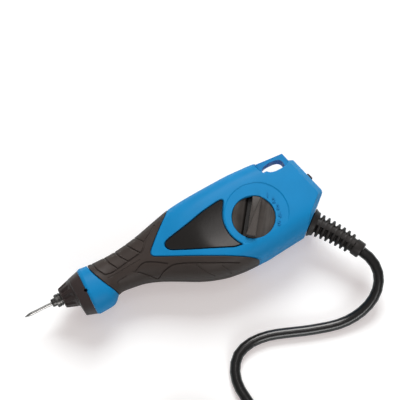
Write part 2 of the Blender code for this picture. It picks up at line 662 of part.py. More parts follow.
def evenly(fine, steps):
    """Picks points at even distances along a fine line."""
    travelled = [0]
    for one, two in zip(fine, fine[1:]):
        travelled.append(travelled[-1] + (two - one).length)
    made = []
    at = 0
    for i in range(steps + 1):
        goal = travelled[-1] * i / steps
        while at < len(fine) - 2 and travelled[at + 1] < goal:
            at += 1
        share = (goal - travelled[at]) / (travelled[at + 1] - travelled[at])
        made.append(fine[at].lerp(fine[at + 1], share))
    return made


# Body loft

def stations(shares, start_x, length):
    """Turns a table of shares into real stations."""
    return [(start_x + along * length, back * HALF_DEPTH, belly * HALF_DEPTH, half * MID_Z, power)
            for along, back, belly, half, power in shares]


BODY_STATIONS = stations(BODY_STATION_SHARES, SEAM_X, BODY_LENGTH)


def station_at(x):
    """The body's station at any place, between those of the table."""
    for one, two in zip(BODY_STATIONS, BODY_STATIONS[1:]):
        if x <= two[0]:
            share = (x - one[0]) / (two[0] - one[0])
            return tuple(a + (b - a) * share for a, b in zip(one, two))
    return BODY_STATIONS[-1]


def rounded(value, power):
    """One coordinate of the rounded section."""
    return math.copysign(abs(value) ** (2 / power), value)


def section(station, inset, sides):
    """The ring of the body at a station, drawn in by an inset."""
    x, back, belly, half, power = station
    centre = (back + belly) / 2
    rise = (back - belly) / 2 - inset
    half = half - inset
    flat = MID_Z - inset
    ring = []
    for i in range(sides):
        angle = math.tau * i / sides
        z = half * rounded(math.sin(angle), power)
        z = min(max(z, -flat), flat)
        ring.append((x, centre + rise * rounded(math.cos(angle), power), MID_Z + z))
    return ring


def skin_depth(x, y):
    """Height of the lower flank's outer surface over the ground at a place."""
    _, back, belly, half, power = station_at(x)
    share = abs(y - (back + belly) / 2) / ((back - belly) / 2)
    drop = half * (1 - share ** power) ** (1 / power)
    return MID_Z - min(drop, MID_Z)


def body_loft(name, inset, sides, chosen=slice(None)):
    """The body drawn in by an inset, through the chosen stations."""
    return stack(name, [section(station, inset, sides) for station in BODY_STATIONS[chosen]])


def meet(angle_one, reach_one, angle_two, reach_two):
    """Where two lines meet, each given by its outward direction and reach."""
    a, b = math.cos(angle_one), math.sin(angle_one)
    c, d = math.cos(angle_two), math.sin(angle_two)
    base = a * d - b * c
    return ((reach_one * d - reach_two * b) / base, (a * reach_two - c * reach_one) / base)


def rear_outline(switch_reach, cord_reach):
    """The rear end seen from above, with the far front left square."""
    front = -BODY_LENGTH
    side = BODY_DEPTH
    up = math.pi / 2
    outline = [(front, side), meet(up, side, SWITCH_FACE_ANGLE, switch_reach)]
    inner = meet(SWITCH_FACE_ANGLE, switch_reach - REAR_CORNER_ROUND,
                 CORD_FACE_ANGLE, cord_reach - REAR_CORNER_ROUND)
    for i in range(REAR_CORNER_STEPS + 1):
        angle = SWITCH_FACE_ANGLE + (CORD_FACE_ANGLE - SWITCH_FACE_ANGLE) * i / REAR_CORNER_STEPS
        outline.append((inner[0] + REAR_CORNER_ROUND * math.cos(angle),
                        inner[1] + REAR_CORNER_ROUND * math.sin(angle)))
    outline.append(meet(-up, side, CORD_FACE_ANGLE, cord_reach))
    outline.append((front, -side))
    return outline


def rear_block(name):
    """What the body keeps behind: both rear faces with their bevels at the flanks."""
    steep = (REAR_BEVEL_HEIGHT + OVERRUN) / REAR_BEVEL_HEIGHT
    layers = [
        (-OVERRUN, steep),
        (REAR_BEVEL_HEIGHT, 0),
        (BODY_THICKNESS - REAR_BEVEL_HEIGHT, 0),
        (BODY_THICKNESS + OVERRUN, steep),
    ]
    rings = []
    for z, share in layers:
        outline = rear_outline(SWITCH_FACE_REACH - SWITCH_BEVEL_WIDTH * share,
                               CORD_FACE_REACH - CORD_BEVEL_WIDTH * share)
        rings.append([(x, y, z) for x, y in outline])
    return stack(name, rings)


def cavity(name, kept):
    """The hollow inside the body, clear of the slot's bar and of what stands in it."""
    hollow = body_loft(name, WALL, CAVITY_SIDES, CAVITY_STATIONS)
    inner = rear_outline(SWITCH_FACE_REACH - WALL, CORD_FACE_REACH - WALL)
    combine(hollow, prism(name + "_end", inner, -OVERRUN, BODY_THICKNESS + OVERRUN), "INTERSECT")
    front = SLOT_FRONT_X - RELIEF_TOP_LEAD - RELIEF_WALL
    bar = block(name + "_bar", (front, SLOT_LOW_Y - SLOT_WALL, -OVERRUN),
                (BODY_LENGTH, BODY_DEPTH, BODY_THICKNESS + OVERRUN))
    combine(hollow, bar)
    for piece in kept:
        combine(hollow, piece)
    return hollow


# Outlines seen from above

def shared_outline(shares):
    """An outline given as shares of BODY_LENGTH and HALF_DEPTH."""
    return [(SEAM_X + along * BODY_LENGTH, across * HALF_DEPTH) for along, across in shares]


def plate_outline():
    """The plate, whose rear edge follows the scale ring."""
    centre_x = DIAL_X + SCALE_RING_SHIFT_X
    centre_y = DIAL_Y + SCALE_RING_SHIFT_Y
    radius = SCALE_RING_RADIUS + PLATE_ARC_GAP
    front = SEAM_X + PLATE_FRONT_SHARE * BODY_LENGTH
    length = centre_x - radius - front
    outline = [(front + along * length, across * HALF_DEPTH) for along, across in PLATE_OUTLINE_SHARES]
    for i in range(PLATE_ARC_STEPS + 1):
        angle = PLATE_ARC_FIRST + (PLATE_ARC_LAST - PLATE_ARC_FIRST) * i / PLATE_ARC_STEPS
        outline.append((centre_x + radius * math.cos(angle), centre_y + radius * math.sin(angle)))
    return outline


def slot_outline():
    """The hanging slot, a rectangle with round corners."""
    return round_rectangle(SLOT_FRONT_X, SLOT_REAR_X, SLOT_LOW_Y, SLOT_HIGH_Y, SLOT_ROUND, SLOT_STEPS)


# Places on the rear faces

def switch_place():
    """On the switch face, local X outwards and local Y up the face."""
    turn = Matrix.Rotation(SWITCH_FACE_ANGLE, 4, "Z")
    corner = Matrix.Translation((REAR_CORNER_X, REAR_CORNER_Y, MID_Z))
    return corner @ turn @ Matrix.Translation((0, SWITCH_RISE, 0))


def boot_point(reach):
    """Centre and heading of the boot at a distance out of the cord face."""
    if reach <= 0:
        heading = CORD_FACE_ANGLE
        return BOOT_X + reach * math.cos(heading), BOOT_Y + reach * math.sin(heading), heading
    curl = BOOT_BEND / BOOT_LENGTH
    heading = CORD_FACE_ANGLE + curl * reach
    x = BOOT_X + (math.sin(heading) - math.sin(CORD_FACE_ANGLE)) / curl
    y = BOOT_Y - (math.cos(heading) - math.cos(CORD_FACE_ANGLE)) / curl
    return x, y, heading


def boot_place(reach):
    """A place on the boot's path, local Z outwards and local X along the world's up."""
    x, y, heading = boot_point(reach)
    out = Vector((math.cos(heading), math.sin(heading), 0))
    up = Vector((0, 0, 1))
    side = out.cross(up)
    turn = Matrix((up, side, out)).transposed().to_4x4()
    return Matrix.Translation((x, y, MID_Z)) @ turn


# Housing halves

def screw_places():
    """The four housing screws, seen from above."""
    return shared_outline(HOUSING_SCREW_SHARES)


def housing_half(name, upper):
    """One half of the blue housing, with its pockets, bosses and openings."""
    shell = body_loft(name, 0, BODY_SIDES)
    shell.data.materials.append(material("blue_shell"))
    combine(shell, rear_block(name + "_rear"), "INTERSECT")
    low, high = -OVERRUN, BODY_THICKNESS + OVERRUN
    grip = grown(shared_outline(GRIP_OUTLINE_SHARES), GAP)
    combine(shell, prism(name + "_grip_pocket", grip, low, high))
    if upper:
        plate = grown(plate_outline(), GAP)
        combine(shell, prism(name + "_plate_pocket", plate, MID_Z, high))
    core = body_loft(name + "_core", POCKET_DEPTH, BODY_SIDES, CORE_STATIONS)
    combine(shell, core, "UNION")
    combine(shell, cavity(name + "_cavity", hanging_bosses() if upper else standing_pieces()))
    half_low = MID_Z + GAP / 2 if upper else low
    half_high = high if upper else MID_Z - GAP / 2
    side = BODY_LENGTH
    combine(shell, block(name + "_half", (-side, -side, half_low), (side, side, half_high)), "INTERSECT")
    combine(shell, bar_relief(name + "_relief", upper))
    if upper:
        upper_openings(shell)
    else:
        lower_openings(shell)
    shared_openings(shell)
    return shell


def stood(name, top, radius, x, y):
    """A round post from the lower wall up to a height."""
    return rod(name, -OVERRUN, top, radius, SCREW_SIDES, place=upright(x, y))


def hanging_bosses():
    """The upper half's screw bosses."""
    return [rod(f"upper_boss_{i}", MID_Z, BODY_THICKNESS + OVERRUN, BOSS_RADIUS, SCREW_SIDES,
                place=upright(x, y)) for i, (x, y) in enumerate(screw_places())]


def standing_pieces():
    """What stands in the lower half: bosses, pillars, posts, a rail, a pad and a saddle."""
    low = -OVERRUN
    kept = [stood(f"lower_boss_{i}", MID_Z, BOSS_RADIUS, x, y) for i, (x, y) in enumerate(screw_places())]
    kept.append(stood("spindle_pillar", PILLAR_TOP_Z, PILLAR_RADIUS, DIAL_X, DIAL_Y))
    for i, (x, y) in enumerate(core_screw_places()):
        kept.append(stood(f"core_pillar_{i}", CORE_LOW_Z - GAP, CORE_PILLAR_RADIUS, x, y))
    for i, (x, y) in enumerate(clamp_screw_places()):
        kept.append(stood(f"clamp_post_{i}", CORD_TOP_Z, CLAMP_POST_RADIUS, x, y))
    kept.append(block("slide_rail", (SLIDE_RAIL_FRONT_X, SLIDE_LOW_Y + SLIDE_RAIL_MARGIN, low),
                      (SLIDE_RAIL_REAR_X, SLIDE_LOW_Y + SLIDE_WIDTH - SLIDE_RAIL_MARGIN, CAM_LOW_Z - GAP)))
    front = SWITCH_BODY_FRONT - SWITCH_BODY_DEPTH / 2
    kept.append(block("switch_pad", (front - SWITCH_PAD_WIDTH, 0, low - MID_Z),
                      (front, SWITCH_BODY_LENGTH / 2, -SWITCH_BODY_HALF_HEIGHT - GAP),
                      place=switch_place()))
    kept.append(block("cord_saddle", (low - MID_Z, -SADDLE_HALF_WIDTH, -SADDLE_HALF_LENGTH),
                      (-CORD_RADIUS - GAP, SADDLE_HALF_WIDTH, SADDLE_HALF_LENGTH),
                      place=boot_place(-CLAMP_PLACE)))
    return kept


def bar_relief(name, upper):
    """What is cut from one flank over the slot's bar. Its front wall leans forwards."""
    near = MID_Z + SLOT_BAR_HALF if upper else MID_Z - SLOT_BAR_HALF
    far = BODY_THICKNESS + OVERRUN if upper else -OVERRUN
    rings = []
    for z, front, sweep in ((near, SLOT_FRONT_X + RELIEF_FLOOR_START, 0),
                            (far, SLOT_FRONT_X - RELIEF_TOP_LEAD, RELIEF_SWEEP)):
        rings.append([(front, RELIEF_LOW_Y, z), (BODY_LENGTH, RELIEF_LOW_Y, z),
                      (BODY_LENGTH, HALF_DEPTH, z), (front - sweep, HALF_DEPTH, z)])
    return stack(name, rings)


def shared_openings(shell):
    """Openings that cross the parting plane."""
    low, high = -OVERRUN, BODY_THICKNESS + OVERRUN
    combine(shell, prism(shell.name + "_slot", slot_outline(), low, high))
    front = rod(shell.name + "_front", SEAM_X - OVERRUN, BODY_STATIONS[CAVITY_STATIONS][0][0] + OVERRUN,
                SPIGOT_RADIUS + GAP, PLUNGER_SIDES, place=along_needle())
    combine(shell, front)
    nub = SLIDER_NUB_WIDTH / 2 + GAP
    opening = block(shell.name + "_switch", (-WALL - OVERRUN, -nub, -SLIDER_NUB_HALF_HEIGHT - GAP),
                    (OVERRUN, nub + SLIDER_TRAVEL, SLIDER_NUB_HALF_HEIGHT + GAP), place=switch_place())
    combine(shell, opening)
    cord = rod(shell.name + "_cord", -WALL - OVERRUN, OVERRUN, BOOT_NECK_RADIUS + GAP, BOOT_SIDES,
               place=boot_place(0))
    combine(shell, cord)
    combine(shell, access_hole(shell.name + "_access"))


def access_hole(name):
    """The radial hole on the seam through which the set screw is reached."""
    return rod(name, CHUCK_STEM_RADIUS, HALF_DEPTH, ACCESS_HOLE_RADIUS, SMALL_HOLE_SIDES,
               place=set_screw_place())


def set_screw_place():
    """On the needle's axis at the seam, local Z along the set screw."""
    tilt = Matrix.Rotation(SET_SCREW_TILT, 4, "X")
    return Matrix.Translation((SEAM_X - GAP / 2, NEEDLE_Y, MID_Z)) @ tilt


def upper_openings(shell):
    """Screw holes, the dial's hole and seat, and the scale ring of the upper half."""
    for i, (x, y) in enumerate(screw_places()):
        combine(shell, rod(f"upper_hole_{i}", MID_Z - OVERRUN, MID_Z + SCREW_REACH + GAP,
                           SCREW_RADIUS + GAP, SCREW_SIDES, place=upright(x, y)))
    at_dial = upright(DIAL_X, DIAL_Y)
    combine(shell, rod("dial_seat", MID_Z, BODY_THICKNESS - WALL, DIAL_FLANGE_RADIUS + GAP,
                       DIAL_SIDES, place=at_dial))
    combine(shell, rod("dial_hole", MID_Z, BODY_THICKNESS + OVERRUN, DIAL_RADIUS + DIAL_RUNNING_GAP,
                       DIAL_SIDES, place=at_dial))
    ring = rod("scale_recess", BODY_THICKNESS - SCALE_RING_DEPTH, BODY_THICKNESS + OVERRUN,
               SCALE_RING_RADIUS, DIAL_SIDES,
               place=upright(DIAL_X + SCALE_RING_SHIFT_X, DIAL_Y + SCALE_RING_SHIFT_Y))
    combine(shell, ring)


def lower_openings(shell):
    """Screw holes and the spindle's bearing in the lower half."""
    for i, (x, y) in enumerate(screw_places()):
        combine(shell, screw_bore(f"lower_bore_{i}", screw_seat(x, y), x, y))
    combine(shell, rod("spindle_bore", SPINDLE_FOOT_Z - GAP, PILLAR_TOP_Z + OVERRUN,
                       SPINDLE_RADIUS + GAP, SPINDLE_SIDES, place=upright(DIAL_X, DIAL_Y)))
    for i, (x, y) in enumerate(core_screw_places()):
        combine(shell, rod(f"core_bore_{i}", CORE_LOW_Z - CORE_SCREW_REACH - GAP, CORE_LOW_Z + OVERRUN,
                           SCREW_RADIUS + GAP, SCREW_SIDES, place=upright(x, y)))
    for i, (x, y) in enumerate(clamp_screw_places()):
        combine(shell, rod(f"clamp_bore_{i}", CORD_TOP_Z - CLAMP_SCREW_REACH - GAP, CORD_TOP_Z + OVERRUN,
                           SMALL_SCREW_RADIUS + GAP, SCREW_SIDES, place=upright(x, y)))


def screw_seat(x, y):
    """Height at which a housing screw's head seats, sunk below the flank all round."""
    outer = y + math.copysign(SCREW_HEAD_RADIUS, y)
    return skin_depth(x, outer) + SCREW_HEAD_HEIGHT + SCREW_SINK


def screw_bore(name, seat, x, y):
    """Through hole and counterbore of a housing screw, from below."""
    head = SCREW_HEAD_RADIUS + COUNTERBORE_GAP
    shank = SCREW_RADIUS + GAP
    profile = [(-OVERRUN, head), (seat, head), (seat, shank), (MID_Z + OVERRUN, shank)]
    return turned(name, profile, SCREW_SIDES, place=upright(x, y))


# Grip and plate

def skin_piece(name, outline, low, high, finish):
    """A piece of skin: the body's outer layer inside an outline."""
    skin = body_loft(name, 0, BODY_SIDES)
    skin.data.materials.append(material(finish))
    combine(skin, prism(name + "_outline", outline, low, high), "INTERSECT")
    inner = body_loft(name + "_inner", SKIN_DEPTH, BODY_SIDES)
    return combine(skin, inner)


def grip_half(name, upper):
    """The rubber grip on one half, from the back edge round to the belly."""
    low = MID_Z + GAP / 2 if upper else -OVERRUN
    high = BODY_THICKNESS + OVERRUN if upper else MID_Z - GAP / 2
    skin = skin_piece(name, shared_outline(GRIP_OUTLINE_SHARES), low, high, "black_rubber")
    if not upper:
        x, y = shared_outline([GRIP_SCREW_SHARES])[0]
        combine(skin, rod("grip_bore", -OVERRUN, screw_seat(x, y) + SKIN_DEPTH,
                          SCREW_HEAD_RADIUS + COUNTERBORE_GAP, SCREW_SIDES, place=upright(x, y)))
    return skin


def name_plate():
    """The bare plate on the upper flank."""
    return skin_piece("name_plate", plate_outline(), MID_Z + GAP, BODY_THICKNESS + OVERRUN, "plate_gloss")


# Nose

def nose_cap():
    """The black cone with its collar, flutes, bush pocket and spigot."""
    start = NOSE_CONE_REAR_X
    rings = [section(station, 0, NOSE_COLLAR_SIDES)
             for station in stations(NOSE_COLLAR_STATION_SHARES, start, NOSE_COLLAR_LENGTH)]
    cap = stack("nose_cap", rings, "black_plastic")
    cone = [
        (NOSE_FRONT_X, NOSE_FRONT_RADIUS - NOSE_EDGE),
        (NOSE_FRONT_X + NOSE_EDGE, NOSE_FRONT_RADIUS),
        (NOSE_CONE_REAR_X, NOSE_CONE_REAR_RADIUS),
        (NOSE_CONE_REAR_X + NOSE_COLLAR_BASE, NOSE_CONE_REAR_RADIUS),
        (NOSE_CONE_REAR_X + NOSE_COLLAR_BASE, SPIGOT_RADIUS),
        (SPIGOT_REAR_X, SPIGOT_RADIUS),
    ]
    combine(cap, turned("nose_cone", cone, NOSE_SIDES, place=along_needle()), "UNION")
    hollow = [
        (NOSE_FRONT_X - OVERRUN, NOSE_MOUTH_RADIUS),
        (NOSE_MOUTH_REAR_X, NOSE_MOUTH_RADIUS),
        (NOSE_MOUTH_REAR_X, NOSE_LIP_RADIUS),
        (BUSH_FRONT_X - GAP, NOSE_LIP_RADIUS),
        (BUSH_FRONT_X - GAP, BUSH_OUTER_RADIUS + GAP),
        (BUSH_FRONT_X + BUSH_LENGTH + GAP, BUSH_OUTER_RADIUS + GAP),
        (BUSH_FRONT_X + BUSH_LENGTH + GAP, NOSE_HOLLOW_RADIUS),
        (SPIGOT_REAR_X + OVERRUN, NOSE_HOLLOW_RADIUS),
    ]
    combine(cap, turned("nose_hollow", hollow, NOSE_SIDES, place=along_needle()))
    for i in range(FLUTE_COUNT):
        combine(cap, flute(i))
    return combine(cap, access_hole("nose_access"))


def flute(i):
    """One round-bottomed flute along the cone."""
    slope = math.atan2(NOSE_CONE_REAR_RADIUS - NOSE_FRONT_RADIUS, NOSE_CONE_REAR_X - NOSE_FRONT_X)
    middle = (NOSE_CONE_REAR_X + NOSE_FRONT_X) / 2
    radius = (NOSE_CONE_REAR_RADIUS + NOSE_FRONT_RADIUS) / 2 + FLUTE_RADIUS - FLUTE_DEPTH
    place = (along_needle(middle) @ Matrix.Rotation(math.tau * i / FLUTE_COUNT, 4, "Z")
             @ Matrix.Translation((radius, 0, 0)) @ Matrix.Rotation(slope, 4, "Y"))
    return rod(f"flute_{i}", -FLUTE_LENGTH / 2, FLUTE_LENGTH / 2, FLUTE_RADIUS, FLUTE_SIDES, place=place)


def front_bush():
    """The bush that the chuck's stem runs in."""
    inner = CHUCK_STEM_RADIUS + GAP
    profile = [(0, inner), (0, BUSH_OUTER_RADIUS), (BUSH_LENGTH, BUSH_OUTER_RADIUS), (BUSH_LENGTH, inner)]
    return turned("front_bush", profile, PLUNGER_SIDES, "brass", along_needle(BUSH_FRONT_X), closed=True)


def needle():
    """The hard engraving needle with its conical point."""
    point = NEEDLE_POINT_LENGTH
    profile = [
        (0, 0),
        (0, NEEDLE_POINT_RADIUS),
        (point, NEEDLE_RADIUS),
        (NEEDLE_END_X - TIP_X, NEEDLE_RADIUS),
        (NEEDLE_END_X - TIP_X, 0),
    ]
    return smooth(turned("needle", profile, NEEDLE_SIDES, "steel", along_needle(TIP_X)))


def needle_chuck():
    """The chuck: a lip and a collar in front of the nose, and a bored stem behind."""
    bore = NEEDLE_RADIUS + GAP
    front = CHUCK_FRONT_X
    lip = front + CHUCK_LIP_LENGTH
    profile = [
        (NEEDLE_END_X + GAP, 0),
        (NEEDLE_END_X + GAP, bore),
        (front, bore),
        (front, CHUCK_LIP_RADIUS - CHUCK_CHAMFER),
        (front + CHUCK_CHAMFER, CHUCK_LIP_RADIUS),
        (lip, CHUCK_LIP_RADIUS),
        (lip, CHUCK_COLLAR_RADIUS - CHUCK_CHAMFER),
        (lip + CHUCK_CHAMFER, CHUCK_COLLAR_RADIUS),
        (CHUCK_COLLAR_REAR_X, CHUCK_COLLAR_RADIUS),
        (CHUCK_COLLAR_REAR_X, CHUCK_STEM_RADIUS),
        (CHUCK_REAR_X, CHUCK_STEM_RADIUS),
        (CHUCK_REAR_X, 0),
    ]
    profile = [(along - front, radius) for along, radius in profile]
    chuck = turned("needle_chuck", profile, CHUCK_SIDES, "steel", along_needle(front))
    hole = rod("chuck_tapped_hole", NEEDLE_RADIUS, CHUCK_STEM_RADIUS + OVERRUN, SET_SCREW_RADIUS + GAP,
               SMALL_HOLE_SIDES, place=set_screw_place())
    return combine(chuck, hole)


def chuck_set_screw():
    """The headless screw that holds the needle."""
    start = NEEDLE_RADIUS + GAP
    return rod("chuck_set_screw", start, start + SET_SCREW_LENGTH, SET_SCREW_RADIUS, SMALL_HOLE_SIDES,
               "steel", set_screw_place())


# Drive

def plunger():
    """The shaft between the chuck and the armature, with the spring's collar."""
    front = CHUCK_REAR_X + GAP
    rear = ARMATURE_FRONT_X - GAP
    bore = SCREW_RADIUS + GAP
    bottom = rear - ARMATURE_SCREW_LENGTH
    profile = [
        (front, 0),
        (front, PLUNGER_COLLAR_RADIUS),
        (front + PLUNGER_COLLAR_LENGTH, PLUNGER_COLLAR_RADIUS),
        (front + PLUNGER_COLLAR_LENGTH, PLUNGER_RADIUS),
        (rear, PLUNGER_RADIUS),
        (rear, bore),
        (bottom, bore),
        (bottom, 0),
    ]
    profile = [(along - front, radius) for along, radius in profile]
    return turned("plunger", profile, PLUNGER_SIDES, "steel", along_needle(front))


def return_spring():
    """The coil spring that pushes the plunger forwards."""
    points = []
    count = SPRING_TURNS * SPRING_POINTS
    rear = GUIDE_FRONT_X - GAP - SPRING_WIRE_RADIUS
    for i in range(count + 1):
        angle = math.tau * i / SPRING_POINTS
        points.append((rear - SPRING_PITCH * i / SPRING_POINTS,
                       NEEDLE_Y + SPRING_RADIUS * math.cos(angle),
                       MID_Z + SPRING_RADIUS * math.sin(angle)))
    return curve_tube("return_spring", points, SPRING_WIRE_RADIUS, 1, "steel")


def rear_guide():
    """The bulkhead that fills the hollow and guides the plunger."""
    rear = GUIDE_FRONT_X + GUIDE_LENGTH
    between = [station for station in BODY_STATIONS if GUIDE_FRONT_X < station[0] < rear]
    chosen = [station_at(GUIDE_FRONT_X), *between, station_at(rear)]
    rings = [section(station, WALL + GAP, CAVITY_SIDES) for station in chosen]
    guide = stack("rear_guide", rings, "cream_nylon")
    bore = rod("guide_bore", GUIDE_FRONT_X - OVERRUN, rear + OVERRUN, PLUNGER_RADIUS + GAP,
               PLUNGER_SIDES, place=along_needle())
    return combine(guide, bore)


def armature():
    """The iron plate that the magnet pulls, bored for its screw."""
    low = (0, ARMATURE_LOW_Y - NEEDLE_Y, -ARMATURE_HALF_HEIGHT)
    high = (ARMATURE_THICKNESS, ARMATURE_HIGH_Y - NEEDLE_Y, ARMATURE_HALF_HEIGHT)
    plate = block("armature", low, high, "core_iron", upright(ARMATURE_FRONT_X, NEEDLE_Y, MID_Z))
    head = SCREW_HEAD_RADIUS + COUNTERBORE_GAP
    shank = SCREW_RADIUS + GAP
    seat = ARMATURE_FRONT_X + ARMATURE_THICKNESS - SCREW_HEAD_HEIGHT - GAP - GAP - GAP
    rear = ARMATURE_FRONT_X + ARMATURE_THICKNESS + OVERRUN
    profile = [(ARMATURE_FRONT_X - OVERRUN, shank), (seat, shank), (seat, head), (rear, head)]
    return combine(plate, turned("armature_bore", profile, SCREW_SIDES, place=along_needle()))


def armature_screw():
    """The screw that holds the armature to the plunger."""
    seat = ARMATURE_FRONT_X + ARMATURE_THICKNESS - SCREW_HEAD_HEIGHT - GAP - GAP
    length = ARMATURE_SCREW_LENGTH + seat - ARMATURE_FRONT_X - GAP
    place = along_needle(seat) @ Matrix.Rotation(math.pi, 4, "X")
    return screw("armature_screw", place, length)


def screw(name, place, length, radius=SCREW_RADIUS, head_radius=SCREW_HEAD_RADIUS,
          head_height=SCREW_HEAD_HEIGHT):
    """A pan-head screw: its head below the local origin, its shank along local Z."""
    profile = [(-head_height, 0), (-head_height, head_radius * SCREW_HEAD_TAPER_SHARE),
               (-head_height / 2, head_radius), (0, head_radius), (0, radius), (length, radius), (length, 0)]
    return smooth(turned(name, profile, SCREW_SIDES, "steel", place))


def core_screw_places():
    """The two screws through the back of the magnet core."""
    x = CORE_REAR_X - CORE_BACK_THICKNESS / 2
    return [(x, CORE_LOW_Y + CORE_SCREW_INSET), (x, CORE_HIGH_Y - CORE_SCREW_INSET)]


def core_levels():
    """Heights in Y of the core's legs, from the lowest up."""
    centre = (CORE_LOW_Y + CORE_HIGH_Y) / 2
    return (CORE_LOW_Y, CORE_LOW_Y + CORE_OUTER_LEG, centre - CORE_CENTRE_LEG / 2,
            centre + CORE_CENTRE_LEG / 2, CORE_HIGH_Y - CORE_OUTER_LEG, CORE_HIGH_Y)


def magnet_core():
    """The laminated core, three legs on one back."""
    front = CORE_FRONT_X
    rear = CORE_REAR_X
    root = rear - CORE_BACK_THICKNESS
    y0, y1, y2, y3, y4, y5 = core_levels()
    outline = [(front, y0), (rear, y0), (rear, y5), (front, y5), (front, y4), (root, y4),
               (root, y3), (front, y3), (front, y2), (root, y2), (root, y1), (front, y1)]
    core = prism("magnet_core", outline, MID_Z - CORE_HALF_STACK, MID_Z + CORE_HALF_STACK, "core_iron")
    for i, (x, y) in enumerate(core_screw_places()):
        hole = rod(f"core_hole_{i}", 0, BODY_THICKNESS, SCREW_RADIUS + GAP, SCREW_SIDES,
                   place=upright(x, y))
        combine(core, hole)
    return core


def sleeve(name, profile, finish):
    """A square sleeve round the centre leg: (x, half width in Y, half height in Z)."""
    centre = (CORE_LOW_Y + CORE_HIGH_Y) / 2
    rings = [[(x, centre + side * wide, MID_Z + up * high)
              for side, up in ((1, 1), (-1, 1), (-1, -1), (1, -1))] for x, wide, high in profile]
    return stack(name, rings, finish, closed=True)


def coil_bobbin():
    """The nylon bobbin on the centre leg."""
    _, low_leg, _, _, high_leg, _ = core_levels()
    front = CORE_FRONT_X + BOBBIN_FRONT_GAP
    rear = CORE_REAR_X - CORE_BACK_THICKNESS - GAP
    bore_y = CORE_CENTRE_LEG / 2 + GAP
    bore_z = CORE_HALF_STACK + GAP
    rim_y = (high_leg - low_leg) / 2 - GAP
    profile = [
        (front, bore_y, bore_z),
        (front, rim_y, BOBBIN_HALF_HEIGHT),
        (front + BOBBIN_FLANGE, rim_y, BOBBIN_HALF_HEIGHT),
        (front + BOBBIN_FLANGE, bore_y + BOBBIN_WALL, bore_z + BOBBIN_WALL),
        (rear - BOBBIN_FLANGE, bore_y + BOBBIN_WALL, bore_z + BOBBIN_WALL),
        (rear - BOBBIN_FLANGE, rim_y, BOBBIN_HALF_HEIGHT),
        (rear, rim_y, BOBBIN_HALF_HEIGHT),
        (rear, bore_y, bore_z),
    ]
    return sleeve("coil_bobbin", profile, "cream_nylon")


def coil_winding():
    """The copper winding between the bobbin's flanges."""
    _, low_leg, _, _, high_leg, _ = core_levels()
    front = CORE_FRONT_X + BOBBIN_FRONT_GAP + BOBBIN_FLANGE + GAP
    rear = CORE_REAR_X - CORE_BACK_THICKNESS - BOBBIN_FLANGE - GAP - GAP
    inner_y = CORE_CENTRE_LEG / 2 + BOBBIN_WALL + GAP + GAP
    inner_z = CORE_HALF_STACK + BOBBIN_WALL + GAP + GAP
    outer_y = (high_leg - low_leg) / 2 - GAP - WINDING_MARGIN
    outer_z = BOBBIN_HALF_HEIGHT - WINDING_MARGIN
    profile = [(front, inner_y, inner_z), (front, outer_y, outer_z),
               (rear, outer_y, outer_z), (rear, inner_y, inner_z)]
    return sleeve("coil_winding", profile, "copper")


# Dial and stroke stop

def stroke_dial():
    """The dial: a disc with a finger bar between two hollows, and a flange under the wall."""
    bore = SPINDLE_RADIUS + GAP
    profile = [
        (SPINDLE_TOP_Z + GAP, 0),
        (SPINDLE_TOP_Z + GAP, bore),
        (DIAL_FLANGE_Z, bore),
        (DIAL_FLANGE_Z, DIAL_FLANGE_RADIUS),
        (DIAL_FLANGE_TOP_Z, DIAL_FLANGE_RADIUS),
        (DIAL_FLANGE_TOP_Z, DIAL_RADIUS),
        (DIAL_FACE_Z - DIAL_CHAMFER, DIAL_RADIUS),
        (DIAL_FACE_Z, DIAL_RADIUS - DIAL_CHAMFER),
        (DIAL_FACE_Z, 0),
    ]
    dial = turned("stroke_dial", profile, DIAL_SIDES, "dial_plastic", upright(DIAL_X, DIAL_Y))
    turn = upright(DIAL_X, DIAL_Y) @ Matrix.Rotation(BAR_ANGLE, 4, "Z")
    for i, side in enumerate((1, -1)):
        centre_z = DIAL_FACE_Z + SCOOP_RADIUS - SCOOP_DEPTH
        place = (turn @ Matrix.Translation((0, side * SCOOP_OFFSET, centre_z))
                 @ Matrix.Rotation(math.pi / 2, 4, "Y"))
        reach = DIAL_RADIUS + OVERRUN
        combine(dial, rod(f"dial_scoop_{i}", -reach, reach, SCOOP_RADIUS, SCOOP_SIDES, place=place))
    return combine(dial, finger_bar(turn), "UNION")


def finger_bar(turn):
    """The bar across the dial, with ends that follow the dial's rim."""
    radius = DIAL_RADIUS - BAR_END_GAP
    half = BAR_WIDTH / 2
    reach = math.asin(half / radius)
    outline = []
    for start in (-reach, math.pi - reach):
        for i in range(BAR_END_STEPS + 1):
            angle = start + 2 * reach * i / BAR_END_STEPS
            outline.append((radius * math.cos(angle), radius * math.sin(angle)))
    low = DIAL_FACE_Z - BAR_ROOT_DEPTH - SCOOP_DEPTH
    return prism("dial_bar", outline, low, BAR_TOP_Z, place=turn)


def dial_seal():
    """The soft ring between the dial's flange and the housing wall."""
    centre_z = DIAL_FLANGE_TOP_Z + GAP + SEAL_WIRE_RADIUS
    ring_radius = DIAL_RADIUS + DIAL_RUNNING_GAP + SEAL_WIRE_RADIUS
    profile = []
    for i in range(SEAL_WIRE_SIDES):
        angle = math.tau * i / SEAL_WIRE_SIDES
        profile.append((centre_z + SEAL_WIRE_RADIUS * math.cos(angle),
                        ring_radius + SEAL_WIRE_RADIUS * math.sin(angle)))
    return turned("dial_seal", profile, SEAL_SIDES, "black_rubber", upright(DIAL_X, DIAL_Y), closed=True)


